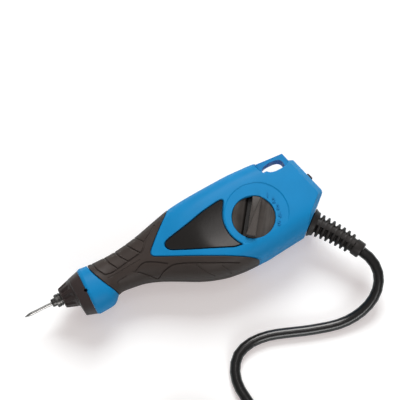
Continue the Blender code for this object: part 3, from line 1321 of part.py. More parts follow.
def cam_outline():
    """The cam: level, then rising steadily over the dial's travel, then falling back."""
    outline = []
    rest = math.pi
    for i in range(CAM_SIDES):
        angle = math.tau * i / CAM_SIDES
        past = (angle - rest + CAM_DWELL) % math.tau - CAM_DWELL
        rise_end = DIAL_TRAVEL + CAM_DWELL
        if past <= rise_end:
            radius = CAM_LOW_RADIUS + CAM_RISE * max(past, 0) / DIAL_TRAVEL
        else:
            top = CAM_LOW_RADIUS + CAM_RISE * rise_end / DIAL_TRAVEL
            back = (past - rise_end) / (math.tau - CAM_DWELL - rise_end)
            radius = top + (CAM_LOW_RADIUS - top) * smoothstep(back)
        outline.append((radius * math.cos(angle), radius * math.sin(angle)))
    return outline


def dial_spindle():
    """The spindle under the dial, with the stroke cam."""
    place = upright(DIAL_X, DIAL_Y)
    shaft = rod("dial_spindle", SPINDLE_FOOT_Z, SPINDLE_TOP_Z, SPINDLE_RADIUS, SPINDLE_SIDES, "brass", place)
    cam = prism("stroke_cam", cam_outline(), CAM_LOW_Z, CAM_LOW_Z + CAM_THICKNESS, place=place)
    return combine(shaft, cam, "UNION")


def stop_slide():
    """The slide that carries the cam's setting to the armature."""
    front = ARMATURE_FRONT_X + ARMATURE_THICKNESS + STROKE + GAP + CAM_RISE
    rear = DIAL_X - CAM_LOW_RADIUS - GAP
    low, bar = SLIDE_LOW_Y, SLIDE_LOW_Y + SLIDE_WIDTH
    toe = front + SLIDE_TOE_THICKNESS
    lug = rear - SLIDE_LUG_THICKNESS
    outline = [(front, low), (rear, low), (rear, SLIDE_LUG_TOP_Y), (lug, SLIDE_LUG_TOP_Y), (lug, bar),
               (toe, bar), (toe, SLIDE_TOE_TOP_Y), (front, SLIDE_TOE_TOP_Y)]
    return prism("stop_slide", outline, CAM_LOW_Z, CAM_LOW_Z + CAM_THICKNESS, "steel")


# Switch

def switch_slider():
    """The slider: a nub through the wall on a plate behind it."""
    place = switch_place()
    front = -WALL - GAP
    nub_y = SLIDER_NUB_WIDTH / 2
    nub_z = SLIDER_NUB_HALF_HEIGHT
    edge = SLIDER_NUB_ROUND
    rings = []
    for x, inset in ((front - SLIDER_PLATE_THICKNESS / 2, 0), (SLIDER_NUB_HEIGHT - edge, 0),
                     (SLIDER_NUB_HEIGHT, edge)):
        rings.append([(x, side * (nub_y - inset), up * (nub_z - inset))
                      for side, up in ((1, 1), (-1, 1), (-1, -1), (1, -1))])
    slider = stack("switch_slider", rings, "black_plastic", place)
    plate = block("slider_plate", (front - SLIDER_PLATE_THICKNESS, -SLIDER_PLATE_HALF_LENGTH,
                                   -SLIDER_PLATE_HALF_HEIGHT),
                  (front, SLIDER_PLATE_HALF_LENGTH, SLIDER_PLATE_HALF_HEIGHT), place=place)
    return combine(slider, plate, "UNION")


def switch_body():
    """The switch behind the slider."""
    front = SWITCH_BODY_FRONT
    rear = front - SWITCH_BODY_DEPTH
    low, high = SWITCH_BODY_LOW, SWITCH_BODY_LOW + SWITCH_BODY_LENGTH
    edge = SWITCH_BODY_EDGE
    rings = []
    for x, inset in ((rear, edge), (rear + edge, 0), (front - edge, 0), (front, edge)):
        half = SWITCH_BODY_HALF_HEIGHT - inset
        rings.append([(x, low + inset, -half), (x, high - inset, -half),
                      (x, high - inset, half), (x, low + inset, half)])
    return stack("switch_body", rings, "black_plastic", switch_place())


# Cord boot, tail, clamp and leads

def boot_ring(reach, radius):
    """A ring of the boot at a distance out of the cord face."""
    place = boot_place(reach)
    ring = []
    for i in range(BOOT_SIDES):
        angle = math.tau * i / BOOT_SIDES
        ring.append(place @ Vector((radius * math.cos(angle), radius * math.sin(angle), 0)))
    return ring


def boot_share(first, last, i):
    """A size that tapers over the boot's ribs."""
    return first + (last - first) * i / (BOOT_RIBS - 1)


def cord_boot():
    """The ribbed strain relief, held in the cord face by its neck."""
    inner = -BOOT_INNER_LENGTH
    flange = GAP + BOOT_FLANGE_THICKNESS
    profile = [
        (inner, BOOT_INNER_RADIUS),
        (inner + BOOT_INNER_FLANGE, BOOT_INNER_RADIUS),
        (inner + BOOT_INNER_FLANGE, BOOT_NECK_RADIUS),
        (GAP, BOOT_NECK_RADIUS),
        (GAP, BOOT_FLANGE_RADIUS),
        (flange, BOOT_FLANGE_RADIUS),
    ]
    for i in range(BOOT_RIBS):
        start = BOOT_RIB_FIRST + BOOT_RIB_PITCH * i
        core = boot_share(BOOT_CORE_FIRST_RADIUS, BOOT_CORE_LAST_RADIUS, i)
        rib = boot_share(BOOT_RIB_FIRST_RADIUS, BOOT_RIB_LAST_RADIUS, i)
        if i == 0:
            profile.append((flange, core))
        profile.extend([(start, core), (start, rib), (start + BOOT_RIB_WIDTH, rib),
                        (start + BOOT_RIB_WIDTH, core)])
    collar = BOOT_RIB_FIRST + BOOT_RIB_PITCH * BOOT_RIBS
    profile.append((collar, BOOT_CORE_LAST_RADIUS))
    profile.extend([(collar, BOOT_END_RADIUS), (BOOT_LENGTH, BOOT_END_RADIUS)])
    boot = stack("cord_boot", [boot_ring(reach, radius) for reach, radius in profile], "black_rubber")
    for i, upright_spine in enumerate((True, False)):
        combine(boot, boot_spine(f"boot_spine_{i}", upright_spine, flange, collar), "UNION")
    return boot


def boot_spine(name, upright_spine, start, end):
    """A slab through the boot that joins its ribs on two opposite sides."""
    rings = []
    start = start - BOOT_FLANGE_THICKNESS / 2
    end = end + BOOT_RIB_WIDTH / 2
    for i in range(BOOT_SPINE_STATIONS):
        share = i / (BOOT_SPINE_STATIONS - 1)
        reach = start + (end - start) * share
        tall = boot_share(BOOT_RIB_FIRST_RADIUS, BOOT_RIB_LAST_RADIUS, share * (BOOT_RIBS - 1))
        tall = tall - BOOT_SPINE_DROP
        tall = min(tall, BOOT_END_RADIUS - BOOT_SPINE_DROP) if i == BOOT_SPINE_STATIONS - 1 else tall
        wide = BOOT_SPINE_WIDTH / 2
        a, b = (tall, wide) if upright_spine else (wide, tall)
        place = boot_place(reach)
        rings.append([place @ Vector((x, y, 0)) for x, y in ((a, b), (-a, b), (-a, -b), (a, -b))])
    return stack(name, rings)


def cord_tail():
    """The cord's end inside the housing."""
    start = -BOOT_INNER_LENGTH - GAP
    return rod("cord_tail", start - TAIL_LENGTH, start, CORD_RADIUS, TAIL_SIDES, "cord_jacket", boot_place(0))


def clamp_screw_places():
    """The clamp's two screws, either side of the cord."""
    x, y, heading = boot_point(-CLAMP_PLACE)
    along, across = -math.sin(heading), math.cos(heading)
    return [(x + side * CLAMP_SCREW_PLACE * along, y + side * CLAMP_SCREW_PLACE * across) for side in (1, -1)]


def cord_clamp():
    """The bar over the cord's tail."""
    low = CORD_RADIUS + GAP
    half = CLAMP_LENGTH / 2
    clamp = block("cord_clamp", (low, -CLAMP_HALF_WIDTH, -half),
                  (low + CLAMP_THICKNESS, CLAMP_HALF_WIDTH, half), "cream_nylon", boot_place(-CLAMP_PLACE))
    for i, (x, y) in enumerate(clamp_screw_places()):
        combine(clamp, rod(f"clamp_hole_{i}", MID_Z, BODY_THICKNESS, SMALL_SCREW_RADIUS + GAP,
                           SCREW_SIDES, place=upright(x, y)))
    return clamp


def clamp_screws():
    """The clamp's two screws, heads up."""
    top = CORD_TOP_Z + GAP + CLAMP_THICKNESS + GAP
    length = top - CORD_TOP_Z + CLAMP_SCREW_REACH
    flip = Matrix.Rotation(math.pi, 4, "X")
    for i, (x, y) in enumerate(clamp_screw_places(), 1):
        screw(f"clamp_screw_{i}", upright(x, y, top) @ flip, length, SMALL_SCREW_RADIUS,
              SMALL_SCREW_HEAD_RADIUS, SMALL_SCREW_HEAD_HEIGHT)


def core_screws():
    """The two screws that hold the magnet core to its pillars."""
    top = MID_Z + CORE_HALF_STACK + GAP
    length = CORE_HALF_STACK * 2 + GAP + CORE_SCREW_REACH
    flip = Matrix.Rotation(math.pi, 4, "X")
    for i, (x, y) in enumerate(core_screw_places(), 1):
        screw(f"core_screw_{i}", upright(x, y, top) @ flip, length)


def housing_screws():
    """The four screws that close the housing, heads in the lower half."""
    for i, (x, y) in enumerate(screw_places(), 1):
        seat = screw_seat(x, y) - GAP
        screw(f"housing_screw_{i}", upright(x, y, seat), MID_Z + SCREW_REACH - seat)


def leads():
    """The three leads between the cord, the switch and the winding."""
    tail = boot_place(-BOOT_INNER_LENGTH - GAP - TAIL_LENGTH - GAP - LEAD_RADIUS)
    switch_rear = SWITCH_BODY_FRONT - SWITCH_BODY_DEPTH - GAP - LEAD_RADIUS
    at_switch = switch_place()
    bobbin_x = CORE_REAR_X - CORE_BACK_THICKNESS + GAP + LEAD_RADIUS
    centre_y = (CORE_LOW_Y + CORE_HIGH_Y) / 2
    step = CORD_RADIUS / 2
    start = -CORD_RADIUS
    live_end = at_switch @ Vector((switch_rear, SWITCH_BODY_LOW + SWITCH_BODY_LENGTH / 2, 0))
    back_start = at_switch @ Vector((switch_rear, SWITCH_BODY_HIGH - SWITCH_BODY_LENGTH / 4, 0))
    aside = Vector((-CORD_DIAMETER, 0, 0))
    rise = Vector((0, 0, CORD_DIAMETER))
    turn_back = (tail @ Vector((step, -step, 2 * start)) + live_end + aside) / 2
    past_dial = DIAL_Y + SPINDLE_RADIUS + LEAD_BERTH
    routes = {
        "lead_live": ("lead_brown", [
            tail @ Vector((step, -step, 0)), tail @ Vector((step, -step, start)), turn_back, live_end]),
        "lead_neutral": ("lead_blue", [
            tail @ Vector((step, step, 0)), tail @ Vector((step, step, start)) + rise / 2,
            Vector((DIAL_X, past_dial, LEAD_Z)),
            Vector((bobbin_x, centre_y + aside.x / 2, LEAD_Z))]),
        "lead_switched": ("lead_brown", [
            back_start, back_start + aside / 2 + rise / 2,
            Vector((DIAL_X, past_dial + LEAD_BERTH, LEAD_Z)),
            Vector((bobbin_x, centre_y - aside.x / 2, LEAD_Z))]),
    }
    for name, (finish, route) in routes.items():
        curve_tube(name, smooth_route(route, 4 * (len(route) - 1)), LEAD_RADIUS, 1, finish)


# Cord, coil, tie and plug

def route_points():
    """The free cord's own route points, from the boot's end to the coil."""
    x, y, _ = boot_point(BOOT_LENGTH + GAP)
    return [(x + ahead, y + aside, CORD_RADIUS + share * (MID_Z - CORD_RADIUS))
            for ahead, aside, share in CORD_ROUTE]


def free_cord():
    """The cord between the boot and the coil."""
    points = smooth_route(route_points(), CORD_STEPS)
    length = sum((two - one).length for one, two in zip(points, points[1:]))
    print(f"free cord {length:.4f} m")
    return curve_tube("cord_free", points, CORD_RADIUS, CORD_BEVEL_RESOLUTION, "cord_jacket")


def coil_radius(turn):
    """The coil's radius, least at the middle of the climb."""
    return COIL_INNER_RADIUS + COIL_PITCH * abs(turn - COIL_TURNS_IN - COIL_CLIMB_TURNS / 2)


def coil_centre():
    """Centre of the coil, placed where the free cord runs into its outer turn."""
    x, y, _ = route_points()[-1]
    return Vector((x - coil_radius(0), y - GAP - CORD_DIAMETER, COIL_Z))


def coil_points():
    """Points of the coil, in turns clockwise seen from above, and of its tail."""
    centre = coil_centre()
    points = [centre + Vector((coil_radius(0), CORD_DIAMETER, 0))]
    turns = COIL_TURNS_IN + COIL_CLIMB_TURNS + COIL_TURNS_OUT
    count = round(turns * COIL_POINTS)
    for i in range(count + 1):
        turn = turns * i / count
        radius = coil_radius(turn)
        to_go = (turns - turn) * math.tau * radius
        lift = COIL_PITCH * smoothstep((turn - COIL_TURNS_IN) / COIL_CLIMB_TURNS) + tail_lift(-to_go)
        angle = -math.tau * turn
        points.append(centre + Vector((radius * math.cos(angle), radius * math.sin(angle), lift)))
    return points + tail_points(centre)


def tail_lift(along):
    """How far the tail has climbed onto the coil, at a distance past the end of the turns."""
    return COIL_PITCH * smoothstep((along + TAIL_RAMP_LEAD) / TAIL_RAMP)


def tail_points(centre):
    """The tail's half turn over the coil, and its straight end at the plug's height."""
    outer = coil_radius(COIL_TURNS_IN + COIL_CLIMB_TURNS + COIL_TURNS_OUT)
    bend = math.pi * TAIL_BEND_RADIUS
    plug_z = COIL_PITCH + CORD_RADIUS + GAP + PLUG_THICKNESS / 2
    made = []
    for i in range(1, TAIL_STEPS + 1):
        angle = math.pi * i / TAIL_STEPS
        along = TAIL_BEND_RADIUS * angle
        lift = COIL_PITCH + tail_lift(along)
        lift = lift + (plug_z - lift) * smoothstep((along - TAIL_LEVEL) / (bend - TAIL_LEVEL))
        made.append(centre + Vector((TAIL_BEND_RADIUS * math.sin(angle),
                                     outer - TAIL_BEND_RADIUS + TAIL_BEND_RADIUS * math.cos(angle), lift)))
    made.append(made[-1] - Vector((TAIL_END, 0, 0)))
    return made


def least_gap(points):
    """The least gap between stretches of a tube that aren't neighbours along it."""
    travelled = [0]
    for one, two in zip(points, points[1:]):
        travelled.append(travelled[-1] + (two - one).length)
    least = BODY_LENGTH
    for i, one in enumerate(points):
        for j in range(i + 1, len(points)):
            if travelled[j] - travelled[i] > 3 * CORD_DIAMETER:
                least = min(least, (points[j] - one).length)
    return least - CORD_DIAMETER


def cord_coil():
    """The put-away coil, one unbroken tube."""
    points = coil_points()
    length = sum((two - one).length for one, two in zip(points, points[1:]))
    print(f"coil {length:.4f} m, least gap to itself {least_gap(points) * 1000:.2f} mm,"
          f" wanted over {COIL_LEAST_GAP * 1000:.2f} mm")
    return curve_tube("cord_coil", points, CORD_RADIUS, 1, "cord_jacket")


def coil_tie():
    """The strap round the coil's turns."""
    turns = COIL_TURNS_IN + COIL_CLIMB_TURNS + COIL_TURNS_OUT
    near = COIL_INNER_RADIUS - CORD_RADIUS - TIE_GAP
    far = coil_radius(turns) + CORD_RADIUS + TIE_GAP
    low = COIL_Z - CORD_RADIUS - TIE_GAP
    high = COIL_Z + COIL_PITCH + CORD_RADIUS + TIE_GAP
    rings = []
    half = TIE_WIDTH / 2
    for y, margin in ((half, 0), (half, TIE_THICKNESS), (-half, TIE_THICKNESS), (-half, 0)):
        outline = round_rectangle(near - margin, far + margin, low - margin, high + margin,
                                  TIE_ROUND + margin, TIE_ROUND_STEPS)
        rings.append([(x, y, z) for x, z in outline])
    centre = coil_centre()
    place = upright(centre.x, centre.y) @ Matrix.Rotation(TIE_ANGLE, 4, "Z")
    return stack("coil_tie", rings, "black_plastic", place, closed=True)


def round_rectangle(left, right, low, high, radius, steps):
    """A rectangle with round corners."""
    corners = ((right - radius, high - radius, 0), (left + radius, high - radius, 1),
               (left + radius, low + radius, 2), (right - radius, low + radius, 3))
    outline = []
    for x, y, quarter in corners:
        for i in range(steps + 1):
            angle = math.pi / 2 * (quarter + i / steps)
            outline.append((x + radius * math.cos(angle), y + radius * math.sin(angle)))
    return outline


def plug_place():
    """At the plug's neck, local X out of the cord's end."""
    end = coil_points()[-1]
    return Matrix.Translation((end.x - GAP, end.y, end.z)) @ Matrix.Rotation(math.pi, 4, "Z")


def plug_body():
    """The moulded two-pin plug, lying flat."""
    rings = []
    for along, wide, tall, power in PLUG_STATION_SHARES:
        ring = []
        for i in range(PLUG_SIDES):
            angle = math.tau * i / PLUG_SIDES
            ring.append((along * PLUG_LENGTH,
                         wide * PLUG_HALF_WIDTH * rounded(math.cos(angle), power),
                         tall * PLUG_THICKNESS / 2 * rounded(math.sin(angle), power)))
        rings.append(ring)
    return stack("plug_body", rings, "cord_jacket", plug_place())


def plug_pins():
    """The plug's two pins."""
    for i, side in enumerate((1, -1), 1):
        place = (plug_place() @ Matrix.Translation((PLUG_LENGTH + GAP, side * PIN_SPACING / 2, 0))
                 @ Matrix.Rotation(math.pi / 2, 4, "Y"))
        tip = PIN_RADIUS / 2
        profile = [(0, PIN_RADIUS), (PIN_LENGTH - tip, PIN_RADIUS), (PIN_LENGTH, tip)]
        smooth(turned(f"plug_pin_{i}", profile, PIN_SIDES, "brass", place))


def build():
    """Makes every piece."""
    housing_half("housing_upper", True)
    housing_half("housing_lower", False)
    grip_half("grip_upper", True)
    grip_half("grip_lower", False)
    name_plate()
    nose_cap()
    front_bush()
    needle()
    needle_chuck()
    chuck_set_screw()
    plunger()
    return_spring()
    rear_guide()
    armature()
    armature_screw()
    magnet_core()
    coil_bobbin()
    coil_winding()
    core_screws()
    stroke_dial()
    dial_seal()
    dial_spindle()
    stop_slide()
    switch_slider()
    switch_body()
    cord_boot()
    cord_tail()
    cord_clamp()
    clamp_screws()
    leads()
    housing_screws()
    free_cord()
    cord_coil()
    coil_tie()
    plug_body()
    plug_pins()


build()
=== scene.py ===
"""Looks of the electric engraving pen: fine shells, rubber, dial, boot, cord and their materials."""
import json
import math

import bmesh
import bpy
import numpy as np
from mathutils import Matrix, Vector
from mathutils.bvhtree import BVHTree


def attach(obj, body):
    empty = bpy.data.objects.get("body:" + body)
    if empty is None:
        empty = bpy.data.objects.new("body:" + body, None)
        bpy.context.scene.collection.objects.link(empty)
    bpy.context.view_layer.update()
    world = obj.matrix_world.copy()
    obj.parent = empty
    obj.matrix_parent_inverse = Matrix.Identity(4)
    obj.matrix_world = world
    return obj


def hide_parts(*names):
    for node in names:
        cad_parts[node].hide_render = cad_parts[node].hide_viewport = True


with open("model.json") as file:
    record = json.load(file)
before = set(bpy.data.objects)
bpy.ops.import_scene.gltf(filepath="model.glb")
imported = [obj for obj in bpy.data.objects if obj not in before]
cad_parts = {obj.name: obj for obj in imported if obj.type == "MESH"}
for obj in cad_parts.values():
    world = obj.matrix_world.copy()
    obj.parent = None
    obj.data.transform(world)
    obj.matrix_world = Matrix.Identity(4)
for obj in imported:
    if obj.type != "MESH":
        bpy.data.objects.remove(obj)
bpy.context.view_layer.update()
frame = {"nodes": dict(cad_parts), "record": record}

MM = 0.001

# Sizes that the solids have, in metres
GAP = 0.0003
OVERRUN = 0.001
MID_Z = 0.019
THICKNESS = 0.038
HALF_DEPTH = 0.02675
LENGTH = 0.150
SEAM_X = -0.0551
POCKET_DEPTH = 0.0019
SKIN_DEPTH = 0.0016
WALL = 0.0036
NEEDLE_Y = 0.0070
DIAL_X, DIAL_Y = 0.0479, -0.0045
DIAL_RADIUS = 0.0123
SWITCH_ANGLE = math.radians(14.6)
CORD_ANGLE = math.radians(-50.6)
CORNER_X = SEAM_X + 0.97705 * LENGTH
CORNER_Y = -0.31200 * HALF_DEPTH
SWITCH_REACH = CORNER_X * math.cos(SWITCH_ANGLE) + CORNER_Y * math.sin(SWITCH_ANGLE)
CORD_REACH = CORNER_X * math.cos(CORD_ANGLE) + CORNER_Y * math.sin(CORD_ANGLE)
CORD_DIAMETER = 0.0062
CORD_RADIUS = CORD_DIAMETER / 2

# Stations of the body: place along it, back edge, belly, half thickness, power of the section
BODY = np.array([
    (0.000, 0.636, -0.374, 0.700, 2.20), (0.010, 0.658, -0.400, 0.737, 2.20),
    (0.041, 0.643, -0.393, 0.721, 2.20), (0.071, 0.632, -0.374, 0.695, 2.20),
    (0.087, 0.630, -0.321, 0.663, 2.25), (0.104, 0.628, -0.224, 0.637, 2.30),
    (0.127, 0.628, -0.194, 0.626, 2.30), (0.167, 0.643, -0.217, 0.632, 2.35),
    (0.207, 0.673, -0.250, 0.658, 2.40), (0.254, 0.718, -0.333, 0.705, 2.50),
    (0.301, 0.778, -0.449, 0.768, 2.70), (0.354, 0.849, -0.598, 0.853, 2.90),
    (0.407, 0.912, -0.748, 0.937, 3.10), (0.461, 0.946, -0.864, 1.000, 3.30),
    (0.527, 0.968, -0.957, 1.042, 3.50), (0.607, 0.987, -0.998, 1.053, 3.60),
    (0.674, 1.000, -1.000, 1.053, 3.60), (0.741, 0.987, -0.968, 1.053, 3.60),
    (0.834, 0.953, -0.920, 1.053, 3.60), (0.927, 0.920, -0.879, 1.047, 3.60),
    (1.000, 0.893, -0.822, 1.042, 3.60),
])
GRIP_OUTLINE = [
    (0.041, 1.200), (0.045, 0.546), (0.050, 0.393), (0.059, 0.250), (0.075, 0.045),
    (0.098, -0.164), (0.118, -0.299), (0.147, -0.486), (0.201, -1.350), (0.754, -1.350),
    (0.701, -1.178), (0.604, -0.882), (0.437, -0.393), (0.305, 0.004), (0.280, 0.082),
    (0.277, 0.146), (0.282, 0.217), (0.321, 0.422), (0.373, 0.673), (0.392, 0.759),
    (0.467, 1.196),
]
PLATE_OUTLINE = [
    (1.177, 0.445), (1.151, 0.486), (1.096, 0.486), (0.942, 0.464), (0.745, 0.422),
    (0.535, 0.355), (0.334, 0.307), (0.098, 0.258), (0.026, 0.224), (0.004, 0.180),
    (0.000, 0.135), (0.013, 0.090), (0.047, 0.019), (0.402, -0.217), (0.843, -0.475),
    (0.989, -0.564), (1.040, -0.572),
]
RING_X, RING_Y, RING_RADIUS = DIAL_X + 0.0025, DIAL_Y + 0.0008, 0.0188
PLATE_FRONT_SHARE, PLATE_MARGIN = 0.339, 0.0008
PLATE_ARC = (math.radians(218), math.radians(143))
SCREWS = [(0.067, -0.108), (0.501, -0.745), (0.747, 0.729), (0.750, -0.750)]


def placed(name, data):
    """An object in the scene's own collection."""
    made = bpy.data.objects.new(name, data)
    bpy.context.scene.collection.objects.link(made)
    return made


def shader_node(tree, kind, sockets=None, **settings):
    """A shader node with its settings and its sockets' own values."""
    made = tree.nodes.new("ShaderNode" + kind)
    for name, value in settings.items():
        setattr(made, name, value)
    for name, value in (sockets or {}).items():
        made.inputs[name].default_value = value
    return made


def ramp(tree, places, colours):
    """A colour ramp between two colours."""
    made = shader_node(tree, "ValToRGB")
    for i in range(2):
        element = made.color_ramp.elements[i]
        element.position = places[i]
        element.color = (*colours[i], 1)
    return made


# Camera, lights, floor

CAMERA_TURN, CAMERA_RISE = math.radians(-27.3), math.radians(75)
CAMERA_REACH = 0.7
CAMERA_AIM = Vector((0.02764, 0.02264, MID_Z))
SENSOR_WIDTH, LENS_LENGTH = 36, 107.5
PAPER = (0.80, 0.86, 0.87, 1)
GLOW, GLOW_LEVEL = (1.0, 0.76, 0.73, 1), 0.27
HORIZON, OVERHEAD, SKY_LEVEL = (0.26, 0.256, 0.252), (0.68, 0.674, 0.668), 0.55

# Softboxes: name, place, aim, width and depth, watts, colour
SOFTBOXES = [
    ("key", (0.42, 0.72, 0.86), (0.01, 0.0, 0.0), (0.60, 0.60), 13.4, (1.0, 0.99, 0.98)),
    ("near_box", (-0.12, -0.86, 0.46), (0.02, 0.0, 0.0), (0.40, 0.40), 3.6, (1, 1, 1)),
    ("plate_box", (0.165, 0.100, 1.0), (0.165, 0.100, 0.0), (0.22, 0.185), 0.44, (1.0, 0.95, 0.93)),
]


def make_camera():
    """Stands where the photograph was taken from."""
    flat = math.cos(CAMERA_RISE)
    back = Vector((math.sin(CAMERA_TURN) * flat, -math.cos(CAMERA_TURN) * flat, math.sin(CAMERA_RISE)))
    lens = bpy.data.cameras.new("camera")
    lens.sensor_width = SENSOR_WIDTH
    lens.lens = LENS_LENGTH
    lens.clip_start, lens.clip_end = 0.01, 10
    eye = placed("camera", lens)
    eye.location = CAMERA_AIM + CAMERA_REACH * back
    right = Vector((math.cos(CAMERA_TURN), math.sin(CAMERA_TURN), 0))
    eye.rotation_euler = Matrix((right, back.cross(right), back)).transposed().to_euler()
    bpy.context.scene.camera = eye


def softbox(name, place, aim, size, power, colour):
    """An area light that points at a place."""
    lamp = bpy.data.lights.new(name, "AREA")
    lamp.shape = "RECTANGLE"
    lamp.size, lamp.size_y = size
    lamp.energy = power
    lamp.color = colour
    made = placed(name, lamp)
    made.location = place
    made.rotation_euler = (Vector(aim) - Vector(place)).to_track_quat("-Z", "Y").to_euler()


def make_floor():
    """A pale floor that keeps the shadow and reads as white past it."""
    mesh = bpy.data.meshes.new("floor")
    reach = 6.0
    corners = [(-reach, -reach, 0), (reach, -reach, 0), (reach, reach, 0), (-reach, reach, 0)]
    mesh.from_pydata(corners, [], [(0, 1, 2, 3)])
    floor = placed("floor", mesh)
    made = bpy.data.materials.new("floor_white")
    made.use_nodes = True
    tree = made.node_tree
    tree.nodes.clear()
    out = shader_node(tree, "OutputMaterial")
    paper = shader_node(tree, "BsdfDiffuse", {"Color": PAPER})
    glow = shader_node(tree, "Emission", {"Color": GLOW})
    both = shader_node(tree, "AddShader")
    path = shader_node(tree, "LightPath")
    level = shader_node(tree, "Math", {1: GLOW_LEVEL}, operation="MULTIPLY")
    tree.links.new(path.outputs["Is Camera Ray"], level.inputs[0])
    tree.links.new(level.outputs[0], glow.inputs["Strength"])
    tree.links.new(paper.outputs[0], both.inputs[0])
    tree.links.new(glow.outputs[0], both.inputs[1])
    tree.links.new(both.outputs[0], out.inputs["Surface"])
    mesh.materials.append(made)


def make_world():
    """A white surround, brighter overhead than at the horizon."""
    world = bpy.data.worlds.new("studio")
    bpy.context.scene.world = world
    world.use_nodes = True
    tree = world.node_tree
    where = shader_node(tree, "TexCoord")
    split = shader_node(tree, "SeparateXYZ")
    fade = ramp(tree, (0.05, 0.95), (HORIZON, OVERHEAD))
    sky = tree.nodes["Background"]
    tree.links.new(where.outputs["Generated"], split.inputs[0])
    tree.links.new(split.outputs["Z"], fade.inputs["Fac"])
    tree.links.new(fade.outputs["Color"], sky.inputs["Color"])
    sky.inputs["Strength"].default_value = SKY_LEVEL


def light_scene():
    """The studio: world, floor, and softboxes behind the pen, on its near side and overhead."""
    make_world()
    make_floor()
    for row in SOFTBOXES:
        softbox(*row)
    bpy.context.scene.view_settings.view_transform = "Standard"


# Mesh makers

MERGE_DISTANCE = 0.000005
SKIN_ANGLE = 32
NEAR_SKIN = 0.00004


def solid(name, points, faces, place=None):
    """An object from points and faces, its faces turned outwards."""
    mesh = bpy.data.meshes.new(name)
    mesh.from_pydata([tuple(p) for p in points], [], [list(f) for f in faces])
    work = bmesh.new()
    work.from_mesh(mesh)
    bmesh.ops.remove_doubles(work, verts=work.verts, dist=MERGE_DISTANCE)
    bmesh.ops.recalc_face_normals(work, faces=work.faces)
    work.to_mesh(mesh)
    work.free()
    made = placed(name, mesh)
    if place is not None:
        mesh.transform(place)
    return made


def stack(name, rings, place=None, closed=False):
    """Rings of equal length joined into a solid. A ring of one point is a tip."""
    points, starts, faces = [], [], []
    for ring in rings:
        starts.append(len(points))
        points.extend(ring)
    pairs = list(zip(range(len(rings) - 1), range(1, len(rings))))
    if closed:
        pairs.append((len(rings) - 1, 0))
    for one, two in pairs:
        faces.extend(band(starts[one], len(rings[one]), starts[two], len(rings[two])))
    if not closed:
        for end in (0, len(rings) - 1):
            if len(rings[end]) > 1:
                faces.append([starts[end] + i for i in range(len(rings[end]))])
    return solid(name, points, faces, place)


def band(start_one, count_one, start_two, count_two):
    """Faces between two rings, either of which may be one point."""
    count = max(count_one, count_two)
    faces = []
    for i in range(count):
        j = (i + 1) % count
        if count_one == 1:
            faces.append([start_one, start_two + j, start_two + i])
        elif count_two == 1:
            faces.append([start_one + i, start_one + j, start_two])
        else:
            faces.append([start_one + i, start_one + j, start_two + j, start_two + i])
    return faces


def circle(radius, sides):
    """Points of a circle about the origin."""
    turns = [math.tau * i / sides for i in range(sides)]
    return [(radius * math.cos(a), radius * math.sin(a)) for a in turns]


def arc(x, y, radius, start, end, steps):
    """Points of an arc, its ends included."""
    turns = [start + (end - start) * i / steps for i in range(steps + 1)]
    return [(x + radius * math.cos(a), y + radius * math.sin(a)) for a in turns]


def squared(angle, wide, tall, power):
    """A point of an ellipse that the power squares."""
    a, b = math.cos(angle), math.sin(angle)
    return wide * math.copysign(abs(a) ** (2 / power), a), tall * math.copysign(abs(b) ** (2 / power), b)


def smoothstep(share):
    """Eases from 0 to 1."""
    share = min(max(share, 0), 1)
    return share * share * (3 - 2 * share)


def spline(points, steps):
    """A smooth curve through points, which are vectors of any kind."""
    made = []
    for i in range(len(points) - 1):
        a, b, c, d = points[max(i - 1, 0)], points[i], points[i + 1], points[min(i + 2, len(points) - 1)]
        for k in range(steps):
            t = k / steps
            made.append(0.5 * (2 * b + (c - a) * t + (2 * a - 5 * b + 4 * c - d) * t ** 2
                               + (3 * b - a - 3 * c + d) * t ** 3))
    return [*made, points[-1]]


def turned(name, profile, sides, place=None):
    """A profile of (height, radius) turned about the local Z axis. A radius of 0 is a tip."""
    rings = [[(x, y, height) for x, y in (circle(radius, sides) if radius else [(0, 0)])]
             for height, radius in profile]
    return stack(name, rings, place)


def rod(name, low, high, radius, sides, place=None):
    """A cylinder along the local Z axis."""
    return turned(name, [(low, radius), (high, radius)], sides, place)


def prism(name, outline, low, high, place=None):
    """An outline in X and Y, raised from low to high."""
    return stack(name, [[(x, y, low) for x, y in outline], [(x, y, high) for x, y in outline]], place)


def block(name, low, high, place=None):
    """A box between two corners."""
    outline = [(low[0], low[1]), (high[0], low[1]), (high[0], high[1]), (low[0], high[1])]
    return prism(name, outline, low[2], high[2], place)


def upright(x, y, z=0):
    """A place with its axes along the world's."""
    return Matrix.Translation((x, y, z))


def along_needle(x=0):
    """A place on the needle's axis whose local Z runs rearwards."""
    return Matrix.Translation((x, NEEDLE_Y, MID_Z)) @ Matrix.Rotation(math.pi / 2, 4, "Y")


def grown(outline, distance):
    """Moves every edge of an outline outwards."""
    count = len(outline)
    area = sum(outline[i - 1][0] * outline[i][1] - outline[i][0] * outline[i - 1][1] for i in range(count))
    side = 1 if area > 0 else -1
    made = []
    for i in range(count):
        before = Vector(outline[i]) - Vector(outline[i - 1])
        after = Vector(outline[(i + 1) % count]) - Vector(outline[i])
        one = Vector((before.y, -before.x)).normalized() * side
        two = Vector((after.y, -after.x)).normalized() * side
        across = one + two
        made.append(tuple(Vector(outline[i]) + across * (2 * distance / max(across.length_squared, 0.4))))
    return made


def softened(outline, rounds):
    """Cuts an outline's corners a few times."""
    points = [np.array(p, float) for p in outline]
    for _ in range(rounds):
        made = []
        for i, here in enumerate(points):
            after = points[(i + 1) % len(points)]
            made.append(0.8 * here + 0.2 * after)
            made.append(0.2 * here + 0.8 * after)
        points = made
    return [tuple(p) for p in points]


